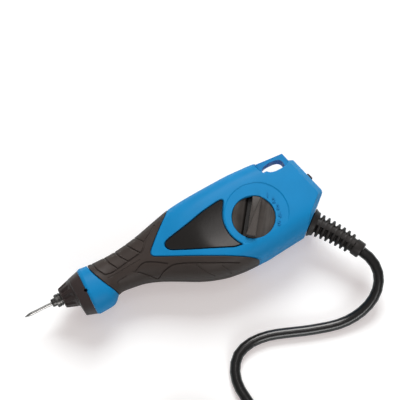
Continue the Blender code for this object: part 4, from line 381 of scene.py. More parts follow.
def cut(target, tools, operation="DIFFERENCE"):
    """One exact Boolean with several tools, applied at once."""
    folder = bpy.data.collections.new(target.name + "_tools")
    for tool in tools:
        folder.objects.link(tool)
    step = target.modifiers.new("cut", "BOOLEAN")
    step.operand_type = "COLLECTION"
    step.collection = folder
    step.solver = "EXACT"
    step.operation = operation
    applied(target)
    for tool in tools:
        bpy.data.objects.remove(tool, do_unlink=True)
    bpy.data.collections.remove(folder)
    return target


def applied(target):
    """Applies an object's modifiers."""
    bpy.context.view_layer.update()
    deps = bpy.context.evaluated_depsgraph_get()
    mesh = bpy.data.meshes.new_from_object(target.evaluated_get(deps))
    target.modifiers.clear()
    target.data = mesh
    return target


def shade(target, angle=30):
    """Smooth shading up to an edge angle."""
    target.data.shade_smooth()
    target.data.set_sharp_from_angle(angle=math.radians(angle))
    return target


def twin(made):
    """A copy that keeps the normals of a loft before it is cut."""
    copy = made.copy()
    copy.data = made.data.copy()
    return copy


def shade_as(target, reference):
    """Smooth shading that takes the reference's normals on faces that still lie on it."""
    mesh, source = shade(target, SKIN_ANGLE).data, reference.data
    tree = BVHTree.FromPolygons([v.co for v in source.vertices], [tuple(p.vertices) for p in source.polygons])
    places = [v.co.copy() for v in source.vertices]
    normals = [v.normal.copy() for v in source.vertices]
    found = {}
    for vertex in mesh.vertices:
        place, _, index, distance = tree.find_nearest(vertex.co)
        if place is None or distance > NEAR_SKIN:
            continue
        total = Vector((0, 0, 0))
        for corner in source.polygons[index].vertices:
            total += normals[corner] / ((places[corner] - place).length_squared + 1e-12)
        found[vertex.index] = total.normalized()
    corners = [Vector(c.vector) for c in mesh.corner_normals]
    for face in mesh.polygons:
        if not all(v in found for v in face.vertices):
            continue
        if any(face.normal.dot(found[v]) < 0.80 for v in face.vertices):
            continue
        for loop in face.loop_indices:
            corners[loop] = found[mesh.loops[loop].vertex_index]
    mesh.normals_split_custom_set(corners)
    bpy.data.objects.remove(reference)
    return target


def finish_piece(made, slot, body="pen", nodes=(), finish=None):
    """Gives a piece its material, its body and the solids that it stands for."""
    made.data.materials.clear()
    made.data.materials.append(LOOKS[finish or slot])
    if made.type == "MESH":
        for face in made.data.polygons:
            face.material_index = 0
    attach(made, body)
    if nodes:
        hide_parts(*nodes)
    return made


# The body's surface

def monotone(xs, ys, at):
    """Smooth values between table values, with no overshoot."""
    step = np.diff(xs)
    slope = np.diff(ys) / step
    rate = np.zeros_like(ys)
    for i in range(1, len(xs) - 1):
        if slope[i - 1] * slope[i] > 0:
            one = 2 * step[i] + step[i - 1]
            two = step[i] + 2 * step[i - 1]
            rate[i] = (one + two) / (one / slope[i - 1] + two / slope[i])
    rate[0], rate[-1] = slope[0], slope[-1]
    i = np.clip(np.searchsorted(xs, at) - 1, 0, len(xs) - 2)
    t = (at - xs[i]) / step[i]
    return (ys[i] * (1 + 2 * t) * (1 - t) ** 2 + rate[i] * step[i] * t * (1 - t) ** 2
            + ys[i + 1] * t * t * (3 - 2 * t) + rate[i + 1] * step[i] * t * t * (t - 1))


def body_at(x):
    """Back edge, belly, half thickness and power of the body at a place, in metres."""
    share = (np.asarray(x, float) - SEAM_X) / LENGTH
    made = []
    for column, scale in ((1, HALF_DEPTH), (2, HALF_DEPTH), (3, MID_Z), (4, 1)):
        edge = np.interp(share, BODY[:2, 0], BODY[:2, column])
        rest = monotone(BODY[1:, 0], BODY[1:, column], np.maximum(share, BODY[1, 0]))
        made.append(np.where(share < BODY[1, 0], edge, rest) * scale)
    return made


def soft_least(one, two, reach=0.0014):
    """The lesser of two values, eased where they are near."""
    near = np.maximum(reach - np.abs(one - two), 0) / reach
    return np.minimum(one, two) - near * near * reach / 4


def rise_at(x, y):
    """How far the skin stands from the parting plane at a place seen from above."""
    back, belly, half, power = body_at(x)
    share = np.abs(y - (back + belly) / 2) / np.maximum((back - belly) / 2, 1e-9)
    share = np.clip(share, 0, 1)
    return soft_least(half * (1 - share ** power) ** (1 / power), MID_Z)


def half_ring(x, inset, count, seam, edge):
    """The upper half of a section from the back edge to the belly, with a small edge at the seam."""
    back, belly, half, power = body_at(x)
    centre, rise = (back + belly) / 2, (back - belly) / 2 - inset
    angle = np.linspace(0, np.pi, 901)
    wide = np.sign(np.cos(angle)) * np.abs(np.cos(angle)) ** (2 / power) * rise
    tall = soft_least((half - inset) * np.abs(np.sin(angle)) ** (2 / power), MID_Z - inset)
    first = seam + edge
    inside = np.nonzero(tall > first)[0]
    a, b = inside[0], inside[-1]
    left = np.interp(first, [tall[a - 1], tall[a]], [wide[a - 1], wide[a]])
    right = np.interp(first, [tall[b + 1], tall[b]], [wide[b + 1], wide[b]])
    wide = np.concatenate([[left], wide[a:b + 1], [right]])
    tall = np.concatenate([[first], tall[a:b + 1], [first]])
    travelled = np.concatenate([[0], np.cumsum(np.hypot(np.diff(wide), np.diff(tall)))])
    even = np.linspace(0, travelled[-1], count)
    wide, tall = np.interp(even, travelled, wide), np.interp(even, travelled, tall)
    wide = np.concatenate([[wide[0] - edge], wide, [wide[-1] + edge]])
    tall = np.concatenate([[seam], tall, [seam]])
    return centre + wide, tall


def along(share):
    """The place at a share of the body's length."""
    return SEAM_X + share * LENGTH


def flank_span(upper):
    """Heights that hold one half, with an overrun on both sides."""
    return (MID_Z - OVERRUN, THICKNESS + OVERRUN) if upper else (-OVERRUN, MID_Z + OVERRUN)


def fine_half(name, upper, inset=0.0, ends=(0, 1), step=0.0007, count=120, edge=0.00025):
    """Half of the body as a fine closed solid between two shares of its length."""
    first, last = along(ends[0]), along(ends[1])
    steps = int(round((last - first) / step))
    places = np.linspace(first, last, steps + 1)
    knee = along(BODY[1, 0])
    if first < knee < last:
        places = np.sort(np.append(places[np.abs(places - knee) > step / 3], knee))
    side = 1 if upper else -1
    rings = []
    for x in places:
        y, z = half_ring(x, inset, count, GAP / 2, edge)
        rings.append([(x, a, MID_Z + side * b) for a, b in zip(y, z)])
    return stack(name, rings)


def hollow_half(name, upper, inset, ends, step=0.002, count=60):
    """A half to cut with, moved a little through the parting plane."""
    made = fine_half(name, upper, inset, ends, step, count, edge=0.0)
    made.data.transform(Matrix.Translation((0, 0, -GAP if upper else GAP)))
    return made


def meet(angle_one, reach_one, angle_two, reach_two):
    """Where two lines meet, each given by its outward direction and reach."""
    a, b = math.cos(angle_one), math.sin(angle_one)
    c, d = math.cos(angle_two), math.sin(angle_two)
    base = a * d - b * c
    return ((reach_one * d - reach_two * b) / base, (a * reach_two - c * reach_one) / base)


def rear_outline(switch_reach, cord_reach, radius=0.003):
    """The rear end seen from above, its corner rounded."""
    up = math.pi / 2
    side = 2 * HALF_DEPTH
    corner = meet(SWITCH_ANGLE, switch_reach - radius, CORD_ANGLE, cord_reach - radius)
    return [(-LENGTH, side), meet(up, side, SWITCH_ANGLE, switch_reach),
            *arc(*corner, radius, SWITCH_ANGLE, CORD_ANGLE, 10),
            meet(-up, side, CORD_ANGLE, cord_reach), (-LENGTH, -side)]


def rear_block(name):
    """What the body keeps behind: both rear faces, their bevels eased at top and bottom."""
    height, wide, narrow = 0.006, 0.0042, 0.0020
    over = OVERRUN / height
    shares = [(1 + over, 1.03 + over), (1.0, 1.03), (0.93, 0.925), (0.85, 0.83), (0.15, 0.13), (0.07, 0.055),
              (0.0, 0.012), (-0.10, 0.0)]
    levels = [(THICKNESS - height * (1 - s), share) for s, share in reversed(shares)]
    levels = [(THICKNESS - z, share) for z, share in reversed(levels)] + levels
    rings = []
    for z, share in levels:
        outline = rear_outline(SWITCH_REACH - wide * share, CORD_REACH - narrow * share)
        rings.append([(x, y, z) for x, y in outline])
    return stack(name, rings)


def shared(outline):
    """An outline given as shares of the body's length and half depth."""
    return [(along(share), across * HALF_DEPTH) for share, across in outline]


def grip_outline():
    """The grip's outline seen from above."""
    return softened(shared(GRIP_OUTLINE), 3)


def plate_outline():
    """The plate's outline, whose rear edge follows the scale ring."""
    radius = RING_RADIUS + PLATE_MARGIN
    front = along(PLATE_FRONT_SHARE)
    length = RING_X - radius - front
    outline = [(front + share * length, across * HALF_DEPTH) for share, across in PLATE_OUTLINE]
    return softened(outline + arc(RING_X, RING_Y, radius, *PLATE_ARC, 14), 2)


# The slot, its bar and the relief beside it
SLOT_LEFT, SLOT_RIGHT = along(0.81400), along(0.90733)
SLOT_LOW, SLOT_HIGH = 0.51215 * HALF_DEPTH, 0.85981 * HALF_DEPTH
RELIEF_LOW = 0.59813 * HALF_DEPTH
BAR_HALF = 0.22368 * MID_Z
RIM_START, RIM_REACH = 0.002, 0.022


def slot_outline(steps=64, power=2.7):
    """The hanging slot, a long round-ended opening."""
    wide, tall = (SLOT_RIGHT - SLOT_LEFT) / 2, (SLOT_HIGH - SLOT_LOW) / 2
    x, y = (SLOT_RIGHT + SLOT_LEFT) / 2, (SLOT_HIGH + SLOT_LOW) / 2
    points = [squared(math.tau * i / steps, wide, tall, power) for i in range(steps)]
    return [(x + a, y + b) for a, b in points]


# The relief's front wall: share of the height over the bar, lead before the slot, sweep at the back edge
RELIEF_WALL = [(0.0, 0.0006, 0.0), (0.10, 0.0009, 0.0008), (0.5, 0.0014, 0.0027), (0.88, 0.0019, 0.0044),
               (1.0, 0.0021, 0.0050)]


def bar_relief(upper):
    """What is cut from one flank over the slot's bar. Its front wall leans forwards in a soft curve."""
    side = 1 if upper else -1
    near, far = MID_Z + side * BAR_HALF, MID_Z + side * (MID_Z + OVERRUN)
    rings = []
    for share, lead, sweep in RELIEF_WALL:
        z, front = near + (far - near) * share, SLOT_LEFT - lead
        rings.append([(front, RELIEF_LOW, z), (LENGTH, RELIEF_LOW, z), (LENGTH, HALF_DEPTH + OVERRUN, z),
                      (front - sweep, HALF_DEPTH + OVERRUN, z)])
    return stack("relief", rings)


def relief_rim(steps=24):
    """Where the relief's walls meet the skin, seen from above."""
    shares, leads, sweeps = zip(*RELIEF_WALL)
    made = []
    for i in range(steps + 1):
        across = 1 - i / steps
        y = RELIEF_LOW + (HALF_DEPTH - RELIEF_LOW) * across
        x = SLOT_LEFT - RIM_START
        for _ in range(4):
            share = (float(rise_at(x, y)) - BAR_HALF) / (MID_Z + OVERRUN - BAR_HALF)
            x = SLOT_LEFT - float(np.interp(share, shares, leads) + np.interp(share, shares, sweeps) * across)
        made.append((x, y))
    return [*made, (SLOT_LEFT + RIM_REACH, RELIEF_LOW)]


SWITCH_RISE = 0.49832 * HALF_DEPTH


def switch_place():
    """On the switch face, local X outwards and local Y up the face."""
    corner = Matrix.Translation((CORNER_X, CORNER_Y, MID_Z))
    rise = Matrix.Translation((0, SWITCH_RISE, 0))
    return corner @ Matrix.Rotation(SWITCH_ANGLE, 4, "Z") @ rise


CORD_FACE_LOW, CORD_RISE = -0.9146 * HALF_DEPTH, 0.33794 * HALF_DEPTH
BOOT_DOWN = (CORNER_Y - CORD_FACE_LOW) / math.cos(CORD_ANGLE) - CORD_RISE
BOOT_X = CORNER_X + BOOT_DOWN * math.sin(CORD_ANGLE)
BOOT_Y = CORNER_Y - BOOT_DOWN * math.cos(CORD_ANGLE)
BOOT_LENGTH, BOOT_CURL = 0.0340, math.radians(-15)


def boot_place(reach):
    """A place on the boot's path, local Z outwards and local X along the world's up."""
    heading = CORD_ANGLE
    if reach <= 0:
        x, y = BOOT_X + reach * math.cos(heading), BOOT_Y + reach * math.sin(heading)
    else:
        curl = BOOT_CURL / BOOT_LENGTH
        heading = CORD_ANGLE + curl * reach
        x = BOOT_X + (math.sin(heading) - math.sin(CORD_ANGLE)) / curl
        y = BOOT_Y - (math.cos(heading) - math.cos(CORD_ANGLE)) / curl
    out = Vector((math.cos(heading), math.sin(heading), 0))
    up = Vector((0, 0, 1))
    turn = Matrix((up, out.cross(up), out)).transposed().to_4x4()
    return Matrix.Translation((x, y, MID_Z)) @ turn


# Lines on the skin

READ_STEP, SLOPE_STEP = 0.00008, 0.00002


def on_skin(outline, upper, step=0.0005, closed=True):
    """Follows an outline over the skin: points and outward normals, in runs where it is on the body."""
    side = 1 if upper else -1
    ends = outline[1:] + outline[:1] if closed else outline[1:]
    flat = []
    for one, two in zip(outline, ends):
        count = max(2, int(math.dist(one, two) / READ_STEP))
        for k in range(count):
            t = k / count
            flat.append((one[0] + (two[0] - one[0]) * t, one[1] + (two[1] - one[1]) * t))
    if not closed:
        flat.append(outline[-1])
    x, y = np.array(flat).T
    back, belly, _, _ = body_at(x)
    inside = (y < back) & (y > belly)
    rise = rise_at(x, y)
    dx = (rise_at(x + SLOPE_STEP, y) - rise_at(x - SLOPE_STEP, y)) / (2 * SLOPE_STEP)
    dy = (rise_at(x, y + SLOPE_STEP) - rise_at(x, y - SLOPE_STEP)) / (2 * SLOPE_STEP)
    runs, run = [], []
    last = None
    for i in range(len(x)):
        if not inside[i]:
            if len(run) > 2:
                runs.append(run)
            run, last = [], None
            continue
        point = Vector((x[i], y[i], MID_Z + side * rise[i]))
        if last is not None and (point - last).length < step:
            continue
        run.append((point, Vector((-dx[i], -dy[i], side)).normalized()))
        last = point
    if len(run) > 2:
        runs.append(run)
    whole = closed and bool(inside.all())
    if closed and not whole and len(runs) > 1 and inside[0] and inside[-1]:
        runs[0] = runs.pop() + runs[0]
    return runs, whole


def swept(name, run, section, closed=False):
    """Sweeps a section of (across, out) along points with normals."""
    rings = []
    count = len(run)
    for i, (point, normal) in enumerate(run):
        before = run[(i - 1) % count][0] if closed or i else point
        after = run[(i + 1) % count][0] if closed or i < count - 1 else point
        tangent = (after - before).normalized()
        across = tangent.cross(normal).normalized()
        out = across.cross(tangent).normalized()
        rings.append([point + across * a + out * b for a, b in section])
    return stack(name, rings, closed=closed)


def wedge(size):
    """A square section on its corner, for chamfers and V grooves."""
    return [(size, 0), (0, size), (-size, 0), (0, -size)]


def edge_tools(name, outline, upper, size, closed=True):
    """Cutters that chamfer the skin along an outline."""
    runs, whole = on_skin(outline, upper, closed=closed)
    made = []
    for i, run in enumerate(runs):
        if not whole:
            lead, trail = (run[0][0] - run[1][0]), (run[-1][0] - run[-2][0])
            run = [(run[0][0] + lead * 2, run[0][1]), *run, (run[-1][0] + trail * 2, run[-1][1])]
        made.append(swept(f"{name}_{i}", run, wedge(size), closed=whole))
    return made


# Materials

TINT_PLACES = (0.3, 0.7)
# Share of the colour kept where shade is painted into a recess
SHADED_SHARE = 0.12
# Pointiness over which edges lighten, partly for wear and partly as a painted highlight
WEAR_SHEEN_FROM, WEAR_SHEEN_TO = 0.53, 0.62
BUMP_STRENGTH = 0.6


def mixed(tree, share, one, two):
    """Mixes two colours, each a link or a plain colour."""
    made = shader_node(tree, "Mix", data_type="RGBA")
    tree.links.new(share, made.inputs["Factor"])
    for name, colour in (("A", one), ("B", two)):
        if isinstance(colour, list):
            made.inputs[name].default_value = (*colour, 1)
        else:
            tree.links.new(colour, made.inputs[name])
    return made.outputs["Result"]


def look(name, colour, rough, metallic=0.0, grain=900.0, grain_depth=0.00002, vary=0.08, rough_vary=0.08,
         wear_and_sheen=0.0, streak=(1, 1, 1), blotch=60.0, specular=0.5, painted_shade_heights=None):
    """A moulded, painted or turned surface: colour drift, grain in the relief, uneven gloss, and edges made
    lighter for wear and as a painted highlight.
    painted_shade_heights is a pair of heights between which the colour fades downwards into a painted shade."""
    made = bpy.data.materials.new(name)
    made.use_nodes = True
    made.diffuse_color = (*colour, 1)
    tree = made.node_tree
    link = tree.links.new
    shader = tree.nodes["Principled BSDF"]
    shader.inputs["Metallic"].default_value = metallic
    shader.inputs["Specular IOR Level"].default_value = specular
    where = shader_node(tree, "TexCoord").outputs["Object"]
    stretch = shader_node(tree, "Mapping", {"Scale": streak})
    drift = shader_node(tree, "TexNoise", {"Scale": blotch, "Detail": 4})
    fine = shader_node(tree, "TexNoise", {"Scale": grain, "Detail": 3})
    link(where, stretch.inputs["Vector"])
    for noise in (drift, fine):
        link(stretch.outputs[0], noise.inputs["Vector"])
    dark = [max(c * (1 - vary), 0) for c in colour]
    light = [min(c * (1 + vary), 1) for c in colour]
    tint = ramp(tree, TINT_PLACES, (dark, light))
    link(drift.outputs["Fac"], tint.inputs["Fac"])
    colours = tint.outputs["Color"]
    if painted_shade_heights:
        # Painted shade: the colour darkens below the given heights, as a recess would lie in shade
        split = shader_node(tree, "SeparateXYZ")
        depth = shader_node(tree, "MapRange", {"From Min": painted_shade_heights[0], "From Max": painted_shade_heights[1]})
        link(where, split.inputs[0])
        link(split.outputs["Z"], depth.inputs["Value"])
        colours = mixed(tree, depth.outputs[0], [c * SHADED_SHARE for c in colour], colours)
    smooth, dull = max(rough - rough_vary, 0.03), min(rough + rough_vary, 1.0)
    gloss = shader_node(tree, "MapRange", {"To Min": smooth, "To Max": dull})
    both = shader_node(tree, "Math", operation="ADD")
    half = shader_node(tree, "Math", {1: 0.5}, operation="MULTIPLY")
    link(drift.outputs["Fac"], both.inputs[0])
    link(fine.outputs["Fac"], both.inputs[1])
    link(both.outputs[0], half.inputs[0])
    link(half.outputs[0], gloss.inputs["Value"])
    link(gloss.outputs[0], shader.inputs["Roughness"])
    bump = shader_node(tree, "Bump", {"Strength": BUMP_STRENGTH, "Distance": grain_depth})
    link(fine.outputs["Fac"], bump.inputs["Height"])
    link(bump.outputs[0], shader.inputs["Normal"])
    # Convex edges turn lighter: partly wear, partly a painted highlight along them
    if wear_and_sheen:
        shape = shader_node(tree, "NewGeometry")
        edge = shader_node(tree, "MapRange", {"From Min": WEAR_SHEEN_FROM, "From Max": WEAR_SHEEN_TO, "To Max": wear_and_sheen})
        link(shape.outputs["Pointiness"], edge.inputs["Value"])
        colours = mixed(tree, edge.outputs[0], colours, [min(c * 1.5 + 0.05, 1) for c in colour])
    link(colours, shader.inputs["Base Color"])
    return made


LOOKS = {
    "blue_shell": look("blue_satin", (0.0055, 0.208, 0.472), 0.45, grain=1400, grain_depth=0.000012,
                       vary=0.05, wear_and_sheen=0.12, specular=0.13),
    "grip_rubber": look("grip_rubber", (0.0400, 0.0295, 0.0255), 0.52, grain=1600, grain_depth=0.00003,
                        vary=0.12, wear_and_sheen=0.50, specular=0.22),
    "plate_gloss": look("plate_gloss", (0.0075, 0.0060, 0.0052), 0.14, grain=300, grain_depth=0.000001,
                        vary=0.1, rough_vary=0.02, specular=0.45),
    "black_plastic": look("black_plastic", (0.0370, 0.0265, 0.0255), 0.38, grain=1200, grain_depth=0.000015,
                          vary=0.15, wear_and_sheen=0.40, specular=0.30),
    # The dial's colour fades into a painted shade below its face, darkest on the valley's floor
    "dial_plastic": look("dial_plastic", (0.0480, 0.0400, 0.0355), 0.46, grain=1500, grain_depth=0.00002,
                         vary=0.25, wear_and_sheen=0.50, specular=0.24, blotch=160, painted_shade_heights=(0.0338, 0.0366)),
    "boot_rubber": look("boot_rubber", (0.0200, 0.0170, 0.0160), 0.42, grain=1300, grain_depth=0.00002,
                        vary=0.12, wear_and_sheen=0.40, specular=0.30),
    "cord_jacket": look("cord_jacket", (0.0060, 0.0056, 0.0056), 0.25, grain=500, grain_depth=0.000003,
                        vary=0.10, rough_vary=0.03, specular=0.50),
    "steel": look("steel", (0.40, 0.39, 0.38), 0.26, 1.0, grain=400, grain_depth=0.0000002, vary=0.06,
                  rough_vary=0.03),
    "chuck_steel": look("chuck_steel", (0.100, 0.096, 0.093), 0.34, 1.0, grain=500, grain_depth=0.000006,
                        vary=0.10, streak=(40, 1, 1), wear_and_sheen=0.5),
    # The numbers: the housing's blue, darkened as a painted shade
    "shaded_number_blue": look("shaded_number_blue", (0.0040, 0.168, 0.400), 0.45, grain=1400,
                             grain_depth=0.000012, vary=0.05, specular=0.13),
    "core_iron": look("core_iron", (0.19, 0.185, 0.18), 0.48, 1.0, grain=500, grain_depth=0.00002, vary=0.2,
                      streak=(1, 1, 12)),
    "brass": look("brass", (0.70, 0.50, 0.21), 0.30, 1.0, grain=500, grain_depth=0.000008, vary=0.1,
                  streak=(40, 1, 1)),
    "copper": look("copper", (0.60, 0.24, 0.10), 0.35, 1.0, grain=700, grain_depth=0.00004, vary=0.15,
                   streak=(20, 1, 1)),
    "nylon": look("nylon", (0.64, 0.60, 0.50), 0.48, grain=900, grain_depth=0.000015, vary=0.06),
    "lead_brown": look("lead_brown", (0.16, 0.060, 0.025), 0.45, grain=900, grain_depth=0.00001, vary=0.1),
    "lead_blue": look("lead_blue", (0.020, 0.10, 0.40), 0.45, grain=900, grain_depth=0.00001, vary=0.1),
}


def dress_nodes():
    """Gives every carried-over solid the material of its slot."""
    for row in frame["record"]["subparts"]:
        mesh = frame["nodes"][row["node"]].data
        mesh.materials.clear()
        mesh.materials.append(LOOKS[row["material_slot"]])


# Housing

# Screws, pillars, bores and chamfers, in metres
BOSS_RADIUS = 0.0042
HEAD_RADIUS, SHANK_RADIUS, HEAD_REACH = 0.0032, 0.0018, 0.0028
HEAD_SINK, HEAD_LEDGE = 0.0018, 0.0009
THREAD_DEPTH = 0.0093
BAR_BLOCK_LEAD, BAR_BLOCK_DROP = 0.0056, 0.0016
CORE_X = along(0.594) - 0.003
CORE_Y = (-0.380 * HALF_DEPTH + 0.0028, 0.700 * HALF_DEPTH - 0.0028)
CORE_PILLAR_RADIUS, CORE_PILLAR_DROP = 0.0032, 0.0083
SPINDLE_PILLAR_RADIUS, SPINDLE_PILLAR_TOP = 0.0044, 0.0140
SPINDLE_BORE, SPINDLE_BORE_ENDS = 0.0028, (0.0080, 0.0150)
FRONT_BORE, CORD_BORE = 0.0079, 0.0063
NUB_HALF_WIDTH, NUB_HALF_HEIGHT, SWITCH_TRAVEL = 0.0021, 0.0026, 0.0028
ACCESS_ANGLE, ACCESS_START, ACCESS_RADIUS = math.radians(20), 0.0034, 0.0010
DIAL_FLANGE_HOLE, DIAL_PLAY = 0.0147, 0.0002
HOLE_EASE, HOLE_EASE_DEPTH, RING_DEPTH = 0.0014, 0.0009, 0.0005
GRIP_CHAMFER, SLOT_CHAMFER, RIM_CHAMFER, PLATE_CHAMFER = 0.00035, 0.0007, 0.0005, 0.00045


def boss_rods(upper):
    """Screw bosses as they stand inside the housing."""
    low, high = (MID_Z, THICKNESS + OVERRUN) if upper else (-OVERRUN, MID_Z)
    places = [upright(x, y) for x, y in shared(SCREWS)]
    return [rod(f"boss_{i}", low, high, BOSS_RADIUS, 20, place) for i, place in enumerate(places)]


def cavity(upper):
    """The hollow inside one half of the housing."""
    hollow = hollow_half("cavity", upper, WALL, (0.042, 1), 0.004, 24)
    inner = rear_outline(SWITCH_REACH - WALL, CORD_REACH - WALL)
    cut(hollow, [prism("cavity_end", inner, -OVERRUN, THICKNESS + OVERRUN)], "INTERSECT")
    kept = boss_rods(upper)
    kept.append(block("cavity_bar", (SLOT_LEFT - BAR_BLOCK_LEAD, SLOT_LOW - BAR_BLOCK_DROP, -OVERRUN),
                      (LENGTH, 2 * HALF_DEPTH, THICKNESS + OVERRUN)))
    if not upper:
        kept.extend(lower_pillars())
    return cut(hollow, kept)


def lower_pillars():
    """Pillars in the lower half, for the spindle and the core."""
    made = [rod("pillar", -OVERRUN, SPINDLE_PILLAR_TOP, SPINDLE_PILLAR_RADIUS, 24, upright(DIAL_X, DIAL_Y))]
    for i, y in enumerate(CORE_Y):
        made.append(rod(f"core_pillar_{i}", -OVERRUN, MID_Z - CORE_PILLAR_DROP, CORE_PILLAR_RADIUS, 20,
                        upright(CORE_X, y)))
    return made


def pocket(name, outline, upper, ends):
    """A pocket under an outline, down to the core."""
    made = prism(name, outline, *flank_span(upper))
    return cut(made, [fine_half(name + "_core", upper, POCKET_DEPTH, ends, step=0.002, count=60, edge=0.0)])


def through_tools():
    """Openings that both halves share: slot, front bore, slider, cord and access hole."""
    front_end = along(0.041) + 2 * OVERRUN
    wide, tall = NUB_HALF_WIDTH + GAP, NUB_HALF_HEIGHT + GAP
    return [
        prism("slot", slot_outline(), -OVERRUN, THICKNESS + OVERRUN),
        rod("front", SEAM_X - OVERRUN, front_end, FRONT_BORE, 40, along_needle()),
        block("switch", (-WALL - OVERRUN, -wide, -tall), (OVERRUN, wide + SWITCH_TRAVEL, tall),
              switch_place()),
        rod("cord", -WALL - OVERRUN, OVERRUN, CORD_BORE, 40, boot_place(0)),
        access_hole(),
    ]


def access_place():
    """On the nose seam, local Z out along the access hole."""
    return Matrix.Translation((SEAM_X - GAP / 2, NEEDLE_Y, MID_Z)) @ Matrix.Rotation(ACCESS_ANGLE, 4, "X")


def access_hole():
    """The radial hole on the nose seam."""
    return rod("access", ACCESS_START, HALF_DEPTH, ACCESS_RADIUS, 24, access_place())


def shell(upper):
    """One half of the blue housing."""
    made = fine_half("shell_upper" if upper else "shell_lower", upper)
    reference = twin(made)
    cut(made, [rear_block("rear")], "INTERSECT")
    outline = grown(grip_outline(), GAP)
    tools = [pocket("grip_pocket", outline, upper, (0.010, 0.741)), cavity(upper), *through_tools(),
             *edge_tools("grip_edge", outline, upper, GRIP_CHAMFER), bar_relief(upper),
             *edge_tools("slot_edge", slot_outline(), upper, SLOT_CHAMFER),
             *edge_tools("rim_edge", relief_rim(), upper, RIM_CHAMFER, closed=False)]
    tools.extend(upper_tools() if upper else lower_tools())
    shade_as(cut(made, tools), reference)
    return finish_piece(made, "blue_shell", nodes=["housing_upper" if upper else "housing_lower"])


def upper_tools():
    """What is cut into the upper half only: plate pocket, dial hole, scale ring and screw holes."""
    outline = grown(plate_outline(), GAP)
    seat, hole = THICKNESS - WALL, DIAL_RADIUS + DIAL_PLAY
    dial_hole = [(MID_Z, DIAL_FLANGE_HOLE), (seat, DIAL_FLANGE_HOLE), (seat, hole),
                 (THICKNESS - HOLE_EASE_DEPTH, hole), (THICKNESS + OVERRUN, hole + HOLE_EASE)]
    ring = [(THICKNESS - RING_DEPTH, RING_RADIUS - 0.0008), (THICKNESS + OVERRUN, RING_RADIUS + 0.0016)]
    tools = [pocket("plate_pocket", outline, True, (0.25, 0.80)),
             *edge_tools("plate_edge", outline, True, PLATE_CHAMFER),
             turned("dial_hole", dial_hole, 96, upright(DIAL_X, DIAL_Y)),
             turned("ring", ring, 128, upright(RING_X, RING_Y))]
    for i, (x, y) in enumerate(shared(SCREWS)):
        tools.append(rod(f"hole_{i}", MID_Z - OVERRUN, MID_Z + THREAD_DEPTH, SHANK_RADIUS, 16, upright(x, y)))
    return tools


def screw_seat(x, y):
    """Height at which a housing screw's head seats."""
    outer = y + math.copysign(HEAD_REACH, y)
    return MID_Z - float(rise_at(x, outer)) + HEAD_SINK + HEAD_LEDGE


def lower_tools():
    """Screw bores and the spindle's bearing."""
    tools = []
    for i, (x, y) in enumerate(shared(SCREWS)):
        seat = screw_seat(x, y)
        profile = [(-OVERRUN, HEAD_RADIUS), (seat, HEAD_RADIUS), (seat, SHANK_RADIUS),
                   (MID_Z + OVERRUN, SHANK_RADIUS)]
        tools.append(turned(f"bore_{i}", profile, 32, upright(x, y)))
    tools.append(rod("spindle_bore", *SPINDLE_BORE_ENDS, SPINDLE_BORE, 24, upright(DIAL_X, DIAL_Y)))
    return tools


# Grip and plate

# Grooves in the rubber, seen from above, in millimetres: radius of the groove, how far its middle lies
# over the skin, and its points
GROOVES = [
    (0.56, -0.20, [(-46.6, 20.6), (-45.9, 17.5), (-45.1, 14.0), (-44.3, 9.9), (-41.8, 5.3)]),
    (0.56, -0.20, [(-39.1, 21.2), (-38.3, 18.0), (-37.4, 14.4), (-36.7, 10.8), (-33.7, 5.1)]),
    (0.56, -0.20, [(-32.1, 21.8), (-31.3, 18.0), (-30.4, 13.4), (-29.6, 11.0), (-26.6, 6.0)]),
    (0.56, -0.18, [(-25.2, 22.4), (-24.0, 18.5), (-22.1, 13.4), (-18.6, 7.4)]),
    (0.50, 0.05, [(-19.0, 23.2), (-17.6, 19.5), (-16.2, 16.3), (-13.7, 12.1)]),
    (0.58, -0.18, [(-41.8, 5.3), (-38.0, 4.7), (-33.7, 5.1), (-26.8, 6.3), (-18.6, 7.4), (-15.4, 9.3),
                   (-12.6, 12.9), (-9.0, 15.1), (-3.6, 19.0)]),
    (0.40, 0.05, [(-41.1, 3.0), (-34.0, 3.2), (-27.4, 3.8), (-19.6, 4.1)]),
    (0.40, 0.05, [(-37.7, -2.3), (-37.3, -1.2), (-36.1, -0.7), (-32.2, -0.5), (-30.2, -0.3)]),
    (0.40, 0.05, [(-27.3, 0.3), (-24.9, -1.2)]),
    (0.52, -0.12, [(-25.6, -0.6), (-22.4, 0.9), (-18.5, 1.3), (-13.4, -1.2), (-7.2, -5.5)]),
    (0.52, -0.12, [(-24.6, -1.4), (-22.4, -3.0), (-19.5, -5.5), (-17.0, -8.1), (-15.0, -9.0), (-11.0, -7.7),
                  (-5.1, -7.5), (1.3, -9.9), (15.0, -17.0), (29.1, -23.8)]),
    (0.40, 0.05, [(6.4, -13.6), (10.3, -19.6), (13.8, -22.8)]),
    (0.40, 0.05, [(19.4, -20.5), (22.4, -24.9), (24.0, -25.9)]),
]


# Grooves wider than WIDE_GROOVE also run over a hollow: how far its middle lies over the skin, and its radius
WIDE_GROOVE = 0.55
HOLLOW = (1.05, 1.30)
SKIN_PLAY, SKIN_CHAMFER = 0.0001, 0.0004


def groove_tools(upper):
    """Round cutters along the grip's grooves, the wider ones over a shallow hollow."""
    made = []
    for i, (radius, over, points) in enumerate(GROOVES):
        line = [tuple(p) for p in spline([np.array((x * MM, y * MM)) for x, y in points], 6)]
        runs, _ = on_skin(line, upper, closed=False, step=0.0007)
        sections = [(over, radius), HOLLOW] if radius > WIDE_GROOVE else [(over, radius)]
        for k, run in enumerate(runs):
            for j, (lift, size) in enumerate(sections):
                lifted = [(point + normal * lift * MM, normal) for point, normal in run]
                made.append(swept(f"groove_{i}_{k}_{j}", lifted, circle(size * MM, 12)))
    return made


